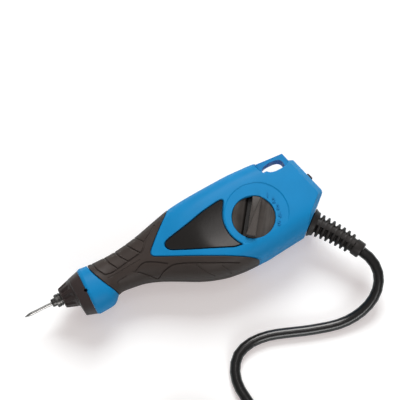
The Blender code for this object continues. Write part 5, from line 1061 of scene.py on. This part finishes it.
def skin_piece(name, upper, outline, ends, inner_ends, tools=(), step=0.0007, count=130):
    """What an outline takes from the skin, with eased edges and a hollow back."""
    made = fine_half(name, upper, ends=ends, step=step, count=count)
    reference = twin(made)
    outline = grown(outline, -SKIN_PLAY)
    cut(made, [prism("outline", outline, *flank_span(upper))], "INTERSECT")
    inner = hollow_half("inner", upper, SKIN_DEPTH, inner_ends)
    cut(made, [inner, *edge_tools("edge", outline, upper, SKIN_CHAMFER), *tools])
    return shade_as(made, reference)


def grip(upper):
    """The rubber skin on one half, grooved, and bored for a screw where it lies over one."""
    tools = groove_tools(upper)
    if not upper:
        x, y = shared(SCREWS)[1]
        top = screw_seat(x, y) + SKIN_DEPTH
        tools.append(rod("grip_bore", -OVERRUN, top, HEAD_RADIUS, 32, upright(x, y)))
    name = "grip_skin_upper" if upper else "grip_skin_lower"
    made = skin_piece(name, upper, grip_outline(), (0.02, 0.80), (0.01, 0.82), tools, 0.0006, 150)
    return finish_piece(made, "grip_rubber", nodes=["grip_upper" if upper else "grip_lower"])


def plate():
    """The bare glossy plate."""
    made = skin_piece("flank_plate", True, plate_outline(), (0.28, 0.78), (0.25, 0.80))
    return finish_piece(made, "plate_gloss", nodes=["name_plate"])


# Nose, chuck and needle

NOSE_REAR = SEAM_X - GAP - 0.0068
NOSE_FRONT = NOSE_REAR - 0.0073
CONE_SHARE, STEP_SHARE, COLLAR_SHARE = 0.515, 0.075, 0.59
NOSE_EASE, EASE_SHARE = 0.0006, 0.035
NOSE_TOP = (0.0129, 0.01696)
# Belly, half width and middle of the nose: start and gain along its cone, start and gain along its collar
NOSE_SIZES = [(0.0011, -0.0025, -0.0081, -0.00185), (0.0059, 0.0040, 0.0112, 0.0017),
              (0.0070, 0.0, 0.0052, -0.0017)]
FLUTES, FLUTE_DEPTH = 10, 0.0010
NEEDLE_TIP, NEEDLE_LENGTH = -0.0932, 0.0381 + 0.0027
CHUCK_FRONT = SEAM_X - 0.0209


def nose_section(share):
    """Top, belly, half width, middle and power of the nose at a share of its length."""
    step = smoothstep((share - CONE_SHARE) / STEP_SHARE)
    cone = min(share / CONE_SHARE, 1.0)
    rest = max(0.0, (share - COLLAR_SHARE) / (1 - COLLAR_SHARE))
    ease = NOSE_EASE * max(0.0, 1 - share / EASE_SHARE) ** 2
    top = NOSE_TOP[0] + (NOSE_TOP[1] - NOSE_TOP[0]) * share - ease
    low, wide, middle = [(a + b * cone) * (1 - step) + (c + d * rest) * step for a, b, c, d in NOSE_SIZES]
    return top, low + ease, wide - ease, middle, 2.0 + 0.2 * step


def nose_ring(x, share, sides=240):
    """A section of the nose, with flutes along its cone."""
    top, low, wide, middle, power = nose_section(share)
    fade = min(1.0, max(0.0, (share - 0.03) / 0.05)) * min(1.0, max(0.0, (0.47 - share) / 0.10))
    ring = []
    for k in range(sides):
        angle = math.tau * k / sides
        wave = 0.5 + 0.5 * math.cos(FLUTES * angle)
        depth = FLUTE_DEPTH * fade * max(0.0, (wave - 0.42) / 0.58) ** 0.6
        reach = (top - middle if math.cos(angle) > 0 else middle - low) - depth
        y, z = squared(angle, reach, wide - depth, power)
        ring.append((x, middle + y, MID_Z + z))
    return ring


def nose():
    """The black nose: a fluted cone that runs into the collar, whose belly side drops, and a spigot."""
    length = SEAM_X - 0.00004 - NOSE_FRONT
    shares = np.concatenate([[0.0, 0.003, 0.012, 0.035], np.linspace(0.05, 0.50, 40),
                             np.linspace(0.51, 0.60, 16), np.linspace(0.62, 1.0, 20)])
    made = stack("nose_shell", [nose_ring(NOSE_FRONT + length * share, share) for share in shares])
    cut(made, [rod("spigot", NOSE_REAR + 0.001, SEAM_X + 0.0048, 0.0076, 64, along_needle())], "UNION")
    ledge, seat, step = NOSE_FRONT + 0.0019, NOSE_FRONT + 0.0026, NOSE_FRONT + 0.0085
    hollow = [(NOSE_FRONT - OVERRUN, 0.0045), (ledge, 0.0045), (ledge, 0.0038), (seat, 0.0038),
              (seat, 0.0053), (step, 0.0053), (step, 0.0066), (SEAM_X + 0.0058, 0.0066)]
    cut(made, [turned("hollow", hollow, 64, along_needle()), access_hole()])
    shade(made, 38)
    return finish_piece(made, "black_plastic", nodes=["nose_cap"])


def needle():
    """The polished needle with its ground point."""
    profile = [(0, 0), (0.00005, 0.00010), (0.0012, 0.00048), (0.0026, 0.00086), (0.0034, 0.00100),
               (0.0040, 0.00106), (0.0055, 0.00106), (0.0062, 0.00100), (0.0380, 0.00100),
               (NEEDLE_LENGTH, 0.00100), (NEEDLE_LENGTH, 0)]
    made = turned("needle_fine", profile, 40, along_needle(NEEDLE_TIP))
    shade(made, 25)
    return finish_piece(made, "steel", "plunger_set", ["needle"])


def chuck():
    """The stepped chuck with eased edges and a fine turned ring."""
    front, lip, rear = CHUCK_FRONT, CHUCK_FRONT + 0.0026, CHUCK_FRONT + 0.0061
    bore, end = SEAM_X + 0.0030, SEAM_X + 0.0049
    profile = [(bore, 0), (bore, 0.0013), (front + 0.0003, 0.0013), (front, 0.0016), (front, 0.0019),
               (front + 0.0003, 0.0023), (front + 0.0005, 0.0024), (lip, 0.0024), (lip, 0.0034),
               (lip + 0.0002, 0.0037), (lip + 0.0005, 0.0039), (rear - 0.0016, 0.0039),
               (rear - 0.0014, 0.0037), (rear - 0.0011, 0.0037), (rear - 0.0009, 0.0039),
               (rear - 0.0003, 0.0039), (rear, 0.0036), (rear, 0.0034), (end, 0.0034), (end, 0)]
    made = turned("chuck_fine", [(x - front, r) for x, r in profile], 56, along_needle(front))
    cut(made, [rod("tapped", 0.0010, 0.0044, 0.0018, 20, access_place())])
    shade(made, 28)
    return finish_piece(made, "steel", "plunger_set", ["needle_chuck"], "chuck_steel")


# Dial, its scale and the slider

DIAL_FACE, DIAL_TOP = THICKNESS - 0.0004, 0.0404
DIAL_FLANGE, DIAL_LOW, DIAL_STEP = 0.0144, 0.0311, 0.0323
SOCKET_TOP, SOCKET_RADIUS = 0.0327, 0.0028
BAR_PLACE = upright(DIAL_X, DIAL_Y) @ Matrix.Rotation(math.radians(53.5), 4, "Z")
BAR_RADIUS, BAR_HALF_WIDTH = DIAL_RADIUS - 0.0005, 0.0028
VALLEY = [(0.0022, -0.0041), (0.0044, -0.0042), (0.0062, -0.0024), (0.0100, -0.0008), (0.0128, 0.0001),
          (0.0128, 0.0020), (0.0022, 0.0020)]
VALLEY_REACH = 0.0133
HOLLOW_RADIUS, HOLLOW_OFFSET, HOLLOW_DEPTH = 0.0110, 0.0078, 0.0017
NUMBER_ANGLES, NUMBER_TURN = (30, 12, -6, -24, -42), -27
NUMBER_RADIUS, NUMBER_SIZE, NUMBER_SINK = 0.0150, 0.0038, 0.00035
NUB_LEVELS = [(-0.0045, 0), (0.0034, 0), (0.0038, 0.0003), (0.0040, 0.0008)]
SLIDER_PLATE = ((-0.0051, -0.0055, -0.0036), (-0.0039, 0.0055, 0.0036))
RIDGE_X, RIDGE_PITCH, RIDGE_REACH, RIDGE_RADIUS = 0.0041, 0.0011, 0.0030, 0.00035


def dial():
    """The stroke dial: a finger bar with a facet, a deep valley on one side and a hollow on the other."""
    profile = [(SOCKET_TOP, 0), (SOCKET_TOP, SOCKET_RADIUS),
               (DIAL_LOW, SOCKET_RADIUS), (DIAL_LOW, DIAL_FLANGE),
               (DIAL_STEP, DIAL_FLANGE), (DIAL_STEP, DIAL_RADIUS), (DIAL_FACE - 0.0006, DIAL_RADIUS),
               (DIAL_FACE - 0.0002, DIAL_RADIUS - 0.0002), (DIAL_FACE, DIAL_RADIUS - 0.0007),
               (DIAL_FACE, 0)]
    made = turned("dial_knob", profile, 128, upright(DIAL_X, DIAL_Y))
    valley = [[(x, y, DIAL_FACE + z) for y, z in VALLEY] for x in (-VALLEY_REACH, VALLEY_REACH)]
    middle = Matrix.Translation((0, -HOLLOW_OFFSET, DIAL_FACE + HOLLOW_RADIUS - HOLLOW_DEPTH))
    place = BAR_PLACE @ middle @ Matrix.Rotation(math.pi / 2, 4, "Y")
    cut(made, [stack("valley", valley, BAR_PLACE),
               rod("hollow", -VALLEY_REACH, VALLEY_REACH, HOLLOW_RADIUS, 96, place)])
    cut(made, [dial_bar()], "UNION")
    shade(made, 24)
    return finish_piece(made, "dial_plastic", "dial", ["stroke_dial"])


def dial_bar():
    """The finger bar with round ends and an eased top, cut by its facet."""
    reach = math.asin(BAR_HALF_WIDTH / BAR_RADIUS)
    ends = [arc(0, 0, BAR_RADIUS, middle - reach, middle + reach, 8) for middle in (0, math.pi)]
    levels = [(DIAL_FACE - 0.0043, 0.0), (DIAL_TOP - 0.0006, 0.0), (DIAL_TOP - 0.0002, -0.0002),
              (DIAL_TOP, -0.0006)]
    rings = [[(x, y, z) for x, y in grown(ends[0] + ends[1], by)] for z, by in levels]
    return cut(stack("bar", rings, BAR_PLACE), facet_cutters(DIAL_FACE - 0.0041))


def facet_cutters(floor):
    """What cuts the bar along a slanting line, with a short steep face beside it."""
    reach, low_end, high_end, side, lean = 0.0130, 0.0030, -0.0028, 0.0062, 0.0009
    over = DIAL_TOP + 0.002
    line = [(-reach, low_end), (reach, high_end), (reach, high_end + lean), (-reach, low_end + lean)]
    steep = [(x, y, z) for (x, y), z in zip(line, (DIAL_TOP, DIAL_TOP, floor, floor))]
    face = stack("facet", [steep, [(x, y, over) for x, y in line]], BAR_PLACE)
    rest = [line[3], line[2], (reach, side), (-reach, side)]
    return [face, prism("facet_side", rest, floor, over, BAR_PLACE)]


def digit_mesh(text):
    """A raised digit about the origin."""
    shape = bpy.data.curves.new("digit", "FONT")
    shape.body = text
    shape.size = NUMBER_SIZE
    shape.offset, shape.extrude, shape.bevel_depth = 0.00010, 0.00030, 0.00005
    shape.align_x, shape.align_y = "CENTER", "CENTER"
    digit = placed("digit", shape)
    bpy.context.view_layer.update()
    mesh = bpy.data.meshes.new_from_object(digit.evaluated_get(bpy.context.evaluated_depsgraph_get()))
    bpy.data.objects.remove(digit)
    return mesh


def dial_numbers():
    """Raised numbers round the dial, in the housing's blue darkened as a painted shade."""
    work = bmesh.new()
    level = Matrix.Rotation(math.radians(NUMBER_TURN), 4, "Z")
    for i, angle in enumerate(NUMBER_ANGLES):
        mesh = digit_mesh(str(i + 1))
        a = math.radians(angle)
        x, y = DIAL_X + NUMBER_RADIUS * math.cos(a), DIAL_Y + NUMBER_RADIUS * math.sin(a)
        mesh.transform(upright(x, y, THICKNESS - NUMBER_SINK) @ level)
        work.from_mesh(mesh)
    whole = bpy.data.meshes.new("dial_numbers")
    work.to_mesh(whole)
    work.free()
    return finish_piece(placed("dial_numbers", whole), "blue_shell", finish="shaded_number_blue")


def slider():
    """The slider's nub with grip ridges, on its plate."""
    place = switch_place()
    rings = []
    for x, inset in NUB_LEVELS:
        outline = rounded_box(NUB_HALF_WIDTH - inset, NUB_HALF_HEIGHT - inset, 0.0005)
        rings.append([(x, a, b) for a, b in outline])
    made = stack("slider_knob", rings, place)
    cut(made, [block("slider_plate", *SLIDER_PLATE, place)], "UNION")
    ridges = [place @ Matrix.Translation((RIDGE_X, RIDGE_PITCH * i, 0)) for i in (-1, 0, 1)]
    cut(made, [rod("ridge", -RIDGE_REACH, RIDGE_REACH, RIDGE_RADIUS, 12, ridge) for ridge in ridges])
    shade(made, 30)
    return finish_piece(made, "black_plastic", "switch_knob", ["switch_slider"])


def rounded_box(wide, tall, radius, steps=4):
    """A rectangle with round corners about the origin."""
    outline = []
    for quarter, (a, b) in enumerate(((1, 1), (-1, 1), (-1, -1), (1, -1))):
        start = math.pi / 2 * quarter
        x, y = a * (wide - radius), b * (tall - radius)
        outline.extend(arc(x, y, radius, start, start + math.pi / 2, steps))
    return outline


# Boot

BOOT_SIDES = 96
RIBS, RIB_PITCH, RIB_WIDTH, FIRST_RIB = 7, 0.0033, 0.0018, 0.0050
RIBBED_START, COLLAR = 0.0036, FIRST_RIB + RIB_PITCH * RIBS
CORE_RADII, RIB_RADII = (0.0047, 0.0041), (0.0070, 0.0059)
SPINE_HALF_WIDTH, SPINE_HEIGHT_SHARE = 0.0021, 0.95
BOOT_ROOT = [(-0.0062, 0.0072), (-0.0062, 0.0075), (-0.0040, 0.0075), (-0.0040, 0.0060), (0.0003, 0.0060),
             (0.0003, 0.0082), (0.0007, 0.0085), (0.0011, 0.0083), (0.0020, 0.0076), (0.0033, 0.0072)]
BOOT_TIP = [(COLLAR + 0.0008, 0.0049), (BOOT_LENGTH - 0.0006, 0.0049), (BOOT_LENGTH - 0.0002, 0.0047),
            (BOOT_LENGTH, 0.0043), (BOOT_LENGTH, 0.0034), (BOOT_LENGTH + 0.0002, 0.0031)]


def pulse(value, half, soft):
    """1 within half of the middle, easing to 0 over soft."""
    return smoothstep((half + soft / 2 - abs(value)) / soft)


def ribbed_radii(reach):
    """Radii round the boot: ribs round a core, joined by a spine above and one below."""
    share = min(max((reach - FIRST_RIB) / (RIB_PITCH * (RIBS - 1)), 0), 1)
    core, rib = [one + (two - one) * share for one, two in (CORE_RADII, RIB_RADII)]
    middles = [FIRST_RIB + RIB_WIDTH / 2 + RIB_PITCH * k for k in range(RIBS)]
    near = max(pulse(reach - middle, RIB_WIDTH / 2, 0.0009) for middle in middles)
    near = max(near, pulse(reach - BOOT_ROOT[-1][0], 0.0006, 0.0006))
    radii = []
    for k in range(BOOT_SIDES):
        off = abs((math.tau * k / BOOT_SIDES + math.pi / 2) % math.pi - math.pi / 2)
        spine = pulse(off * rib, SPINE_HALF_WIDTH, 0.0006) * SPINE_HEIGHT_SHARE
        radii.append(core + (rib - core) * max(near, spine))
    return radii


def boot():
    """The ribbed strain relief, from its root in the housing to its tip round the cord."""
    reaches = [RIBBED_START + (COLLAR + 0.0004 - RIBBED_START) * i / 200 for i in range(201)]
    rings = [boot_ring(reach, [radius] * BOOT_SIDES) for reach, radius in BOOT_ROOT]
    rings.extend(boot_ring(reach, ribbed_radii(reach)) for reach in reaches)
    rings.extend(boot_ring(reach, [radius] * BOOT_SIDES) for reach, radius in BOOT_TIP)
    made = stack("boot_fine", rings)
    shade(made, 40)
    return finish_piece(made, "boot_rubber", nodes=["cord_boot"])


def boot_ring(reach, radii):
    """A ring of the boot at a distance out of the cord face."""
    place = boot_place(reach)
    count = len(radii)
    return [place @ Vector((r * math.cos(math.tau * i / count), r * math.sin(math.tau * i / count), 0))
            for i, r in enumerate(radii)]


# Cord, tie and plug

ROUTE = [
    (0.00000, 0.00000, 1.0000), (0.00176, -0.00375, 0.9937), (0.00306, -0.00875, 0.9371),
    (0.00296, -0.01425, 0.8239), (0.00106, -0.01955, 0.6541), (-0.00284, -0.02415, 0.4717),
    (-0.00824, -0.02745, 0.3082), (-0.01484, -0.02945, 0.1698), (-0.02234, -0.03015, 0.0629),
    (-0.03034, -0.02945, 0.0126), (-0.03884, -0.02725, 0.0000), (-0.04934, -0.02385, 0.0000),
    (-0.05984, -0.01985, 0.0000), (-0.06984, -0.01665, 0.0000), (-0.08034, -0.01565, 0.0000),
    (-0.08984, -0.01835, 0.0000), (-0.09594, -0.02545, 0.0000), (-0.09834, -0.03445, 0.0000),
    (-0.09764, -0.04415, 0.0000), (-0.09644, -0.05425, 0.0063), (-0.09574, -0.06425, 0.0252),
    (-0.09554, -0.07425, 0.0566), (-0.09574, -0.08375, 0.0692),
]
COIL_INNER = 4 * CORD_DIAMETER
COIL_PITCH = CORD_DIAMETER + 0.0005
TURNS_IN, TURNS_CLIMB, TURNS_OUT = 3.25, 0.5, 3.0
TURNS = TURNS_IN + TURNS_CLIMB + TURNS_OUT
COIL_Z = CORD_RADIUS + 0.0011
TAIL_RADIUS = 0.0256
CLIMB_START, CLIMB_LENGTH, RISE_START = -0.015, 0.040, 0.045
PLUG_LENGTH, PLUG_HALF_WIDTH, PLUG_THICKNESS = 0.0440, 0.0150, 0.0137
PIN_OFFSET = 0.0093
PIN_PROFILE = [(0, 0.0020), (0.0100, 0.0020), (0.0101, 0.0019), (0.0178, 0.0019), (0.0186, 0.0015),
               (0.0190, 0.0009)]
STRAP_PLAY = 0.0004


def route_points():
    """The free cord's route from the boot's end to the coil."""
    end = boot_place(BOOT_LENGTH + GAP).translation
    return [Vector((end.x + ahead, end.y + aside, CORD_RADIUS + share * (MID_Z - CORD_RADIUS)))
            for ahead, aside, share in ROUTE]


def smooth_route(points, steps):
    """Reads a smooth curve through route points at even steps."""
    fine = spline(points, 12)
    travelled = [0]
    for one, two in zip(fine, fine[1:]):
        travelled.append(travelled[-1] + (two - one).length)
    made, at = [], 0
    for i in range(steps + 1):
        goal = travelled[-1] * i / steps
        while at < len(fine) - 2 and travelled[at + 1] < goal:
            at += 1
        share = (goal - travelled[at]) / (travelled[at + 1] - travelled[at])
        made.append(fine[at].lerp(fine[at + 1], share))
    return made


def coil_radius(turn):
    """The coil's radius, least at the middle of the climb."""
    return COIL_INNER + COIL_PITCH * abs(turn - TURNS_IN - TURNS_CLIMB / 2)


def coil_centre():
    """Centre of the coil."""
    last = route_points()[-1]
    return Vector((last.x - coil_radius(0), last.y - GAP - CORD_DIAMETER, COIL_Z))


def coil_points(per_turn=36):
    """Points of the coil, and of its tail, which turns back over it to the plug."""
    centre = coil_centre()
    points = [centre + Vector((coil_radius(0), CORD_DIAMETER, 0))]
    count = round(TURNS * per_turn)
    for i in range(count + 1):
        turn = TURNS * i / count
        radius = coil_radius(turn)
        to_go = (TURNS - turn) * math.tau * radius
        lift = COIL_PITCH * smoothstep((turn - TURNS_IN) / TURNS_CLIMB) + tail_lift(-to_go)
        angle = -math.tau * turn
        points.append(centre + Vector((radius * math.cos(angle), radius * math.sin(angle), lift)))
    return points + tail_points(centre)


def tail_lift(gone):
    """How far the tail has climbed onto the coil, at a distance past the end of the turns."""
    return COIL_PITCH * smoothstep((gone - CLIMB_START) / CLIMB_LENGTH)


def tail_points(centre, steps=28):
    """The tail's half turn over the coil, and its straight end at the plug's height."""
    outer = coil_radius(TURNS)
    bend = math.pi * TAIL_RADIUS
    plug_z = COIL_PITCH + CORD_RADIUS + GAP + PLUG_THICKNESS / 2
    made = []
    for i in range(1, steps + 1):
        angle = math.pi * i / steps
        gone = TAIL_RADIUS * angle
        lift = COIL_PITCH + tail_lift(gone)
        lift = lift + (plug_z - lift) * smoothstep((gone - RISE_START) / (bend - RISE_START))
        made.append(centre + Vector((TAIL_RADIUS * math.sin(angle),
                                     outer - TAIL_RADIUS + TAIL_RADIUS * math.cos(angle), lift)))
    made.append(made[-1] - Vector((0.003, 0, 0)))
    return made


def plug_place():
    """At the plug's neck, local X out of the cord's end."""
    end = coil_points()[-1]
    return Matrix.Translation((end.x - GAP, end.y, end.z)) @ Matrix.Rotation(math.pi, 4, "Z")


def cord():
    """The whole free cord, from the boot's end through the coil to the plug."""
    points = smooth_route(route_points(), 36) + coil_points()[1:]
    curve = bpy.data.curves.new("flex", "CURVE")
    curve.dimensions = "3D"
    curve.bevel_depth = CORD_RADIUS
    curve.bevel_resolution = 8
    curve.resolution_u = 3
    curve.use_fill_caps = True
    line = curve.splines.new("POLY")
    line.points.add(len(points) - 1)
    for place, point in zip(line.points, points):
        place.co = (*point, 1)
    line.use_smooth = True
    length = sum((two - one).length for one, two in zip(points, points[1:]))
    made = finish_piece(placed("flex", curve), "cord_jacket", nodes=["cord_free", "cord_coil"])
    return made, points[0], length


def tie():
    """The strap round the coil's turns."""
    near, far = COIL_INNER - CORD_RADIUS - STRAP_PLAY, coil_radius(TURNS) + CORD_RADIUS + STRAP_PLAY
    low = COIL_Z - CORD_RADIUS - STRAP_PLAY
    high = COIL_Z + COIL_PITCH + CORD_RADIUS + STRAP_PLAY
    middle_x, middle_z = (near + far) / 2, (low + high) / 2
    rings = []
    for y, margin in ((0.0047, 0), (0.0050, 0.0002), (0.0050, 0.0005), (0.0047, 0.0007), (-0.0047, 0.0007),
                      (-0.0050, 0.0005), (-0.0050, 0.0002), (-0.0047, 0)):
        outline = rounded_box((far - near) / 2 + margin, (high - low) / 2 + margin, 0.003 + margin, 8)
        rings.append([(middle_x + a, y, middle_z + b) for a, b in outline])
    centre = coil_centre()
    place = upright(centre.x, centre.y) @ Matrix.Rotation(math.radians(118), 4, "Z")
    made = stack("coil_strap", rings, place, closed=True)
    shade(made, 35)
    return finish_piece(made, "black_plastic", nodes=["coil_tie"])


def plug():
    """The flat moulded plug and its two pins with sleeves."""
    # Stations: share of the length, half width, half height, power of the section
    stations = np.array([(0.000, 0.287, 0.628, 2.0), (0.180, 0.320, 0.680, 2.0), (0.300, 0.540, 0.860, 2.4),
                         (0.450, 0.860, 1.000, 3.0), (0.700, 1.000, 1.000, 3.4), (1.000, 0.960, 0.960, 3.6)])
    rings = []
    for share in np.linspace(0, 1, 61):
        here = np.array(share)
        wide, tall, power = [float(monotone(stations[:, 0], stations[:, c], here)) for c in (1, 2, 3)]
        ease = 0.0012 * max(0.0, (share - 0.97) / 0.03) ** 2
        sizes = (wide * PLUG_HALF_WIDTH - ease, tall * PLUG_THICKNESS / 2 - ease)
        section = [squared(math.tau * k / 72, *sizes, power) for k in range(72)]
        rings.append([(share * PLUG_LENGTH, y, z) for y, z in section])
    body = stack("plug_moulding", rings, plug_place())
    shade(body, 35)
    made = [finish_piece(body, "cord_jacket", nodes=["plug_body"])]
    for i, side in enumerate((1, -1), 1):
        root = Matrix.Translation((PLUG_LENGTH + GAP, side * PIN_OFFSET, 0))
        place = plug_place() @ root @ Matrix.Rotation(math.pi / 2, 4, "Y")
        pin = turned(f"pin_fine_{i}", PIN_PROFILE, 32, place)
        shade(pin, 30)
        made.append(finish_piece(pin, "brass", nodes=[f"plug_pin_{i}"]))
    return made


def build():
    """Makes the scene."""
    make_camera()
    light_scene()
    dress_nodes()
    flex, exit_point, length = cord()
    strap = tie()
    ends = plug()
    boot()
    shell(True)
    shell(False)
    grip(True)
    grip(False)
    plate()
    nose()
    needle()
    chuck()
    dial()
    dial_numbers()
    slider()


build()
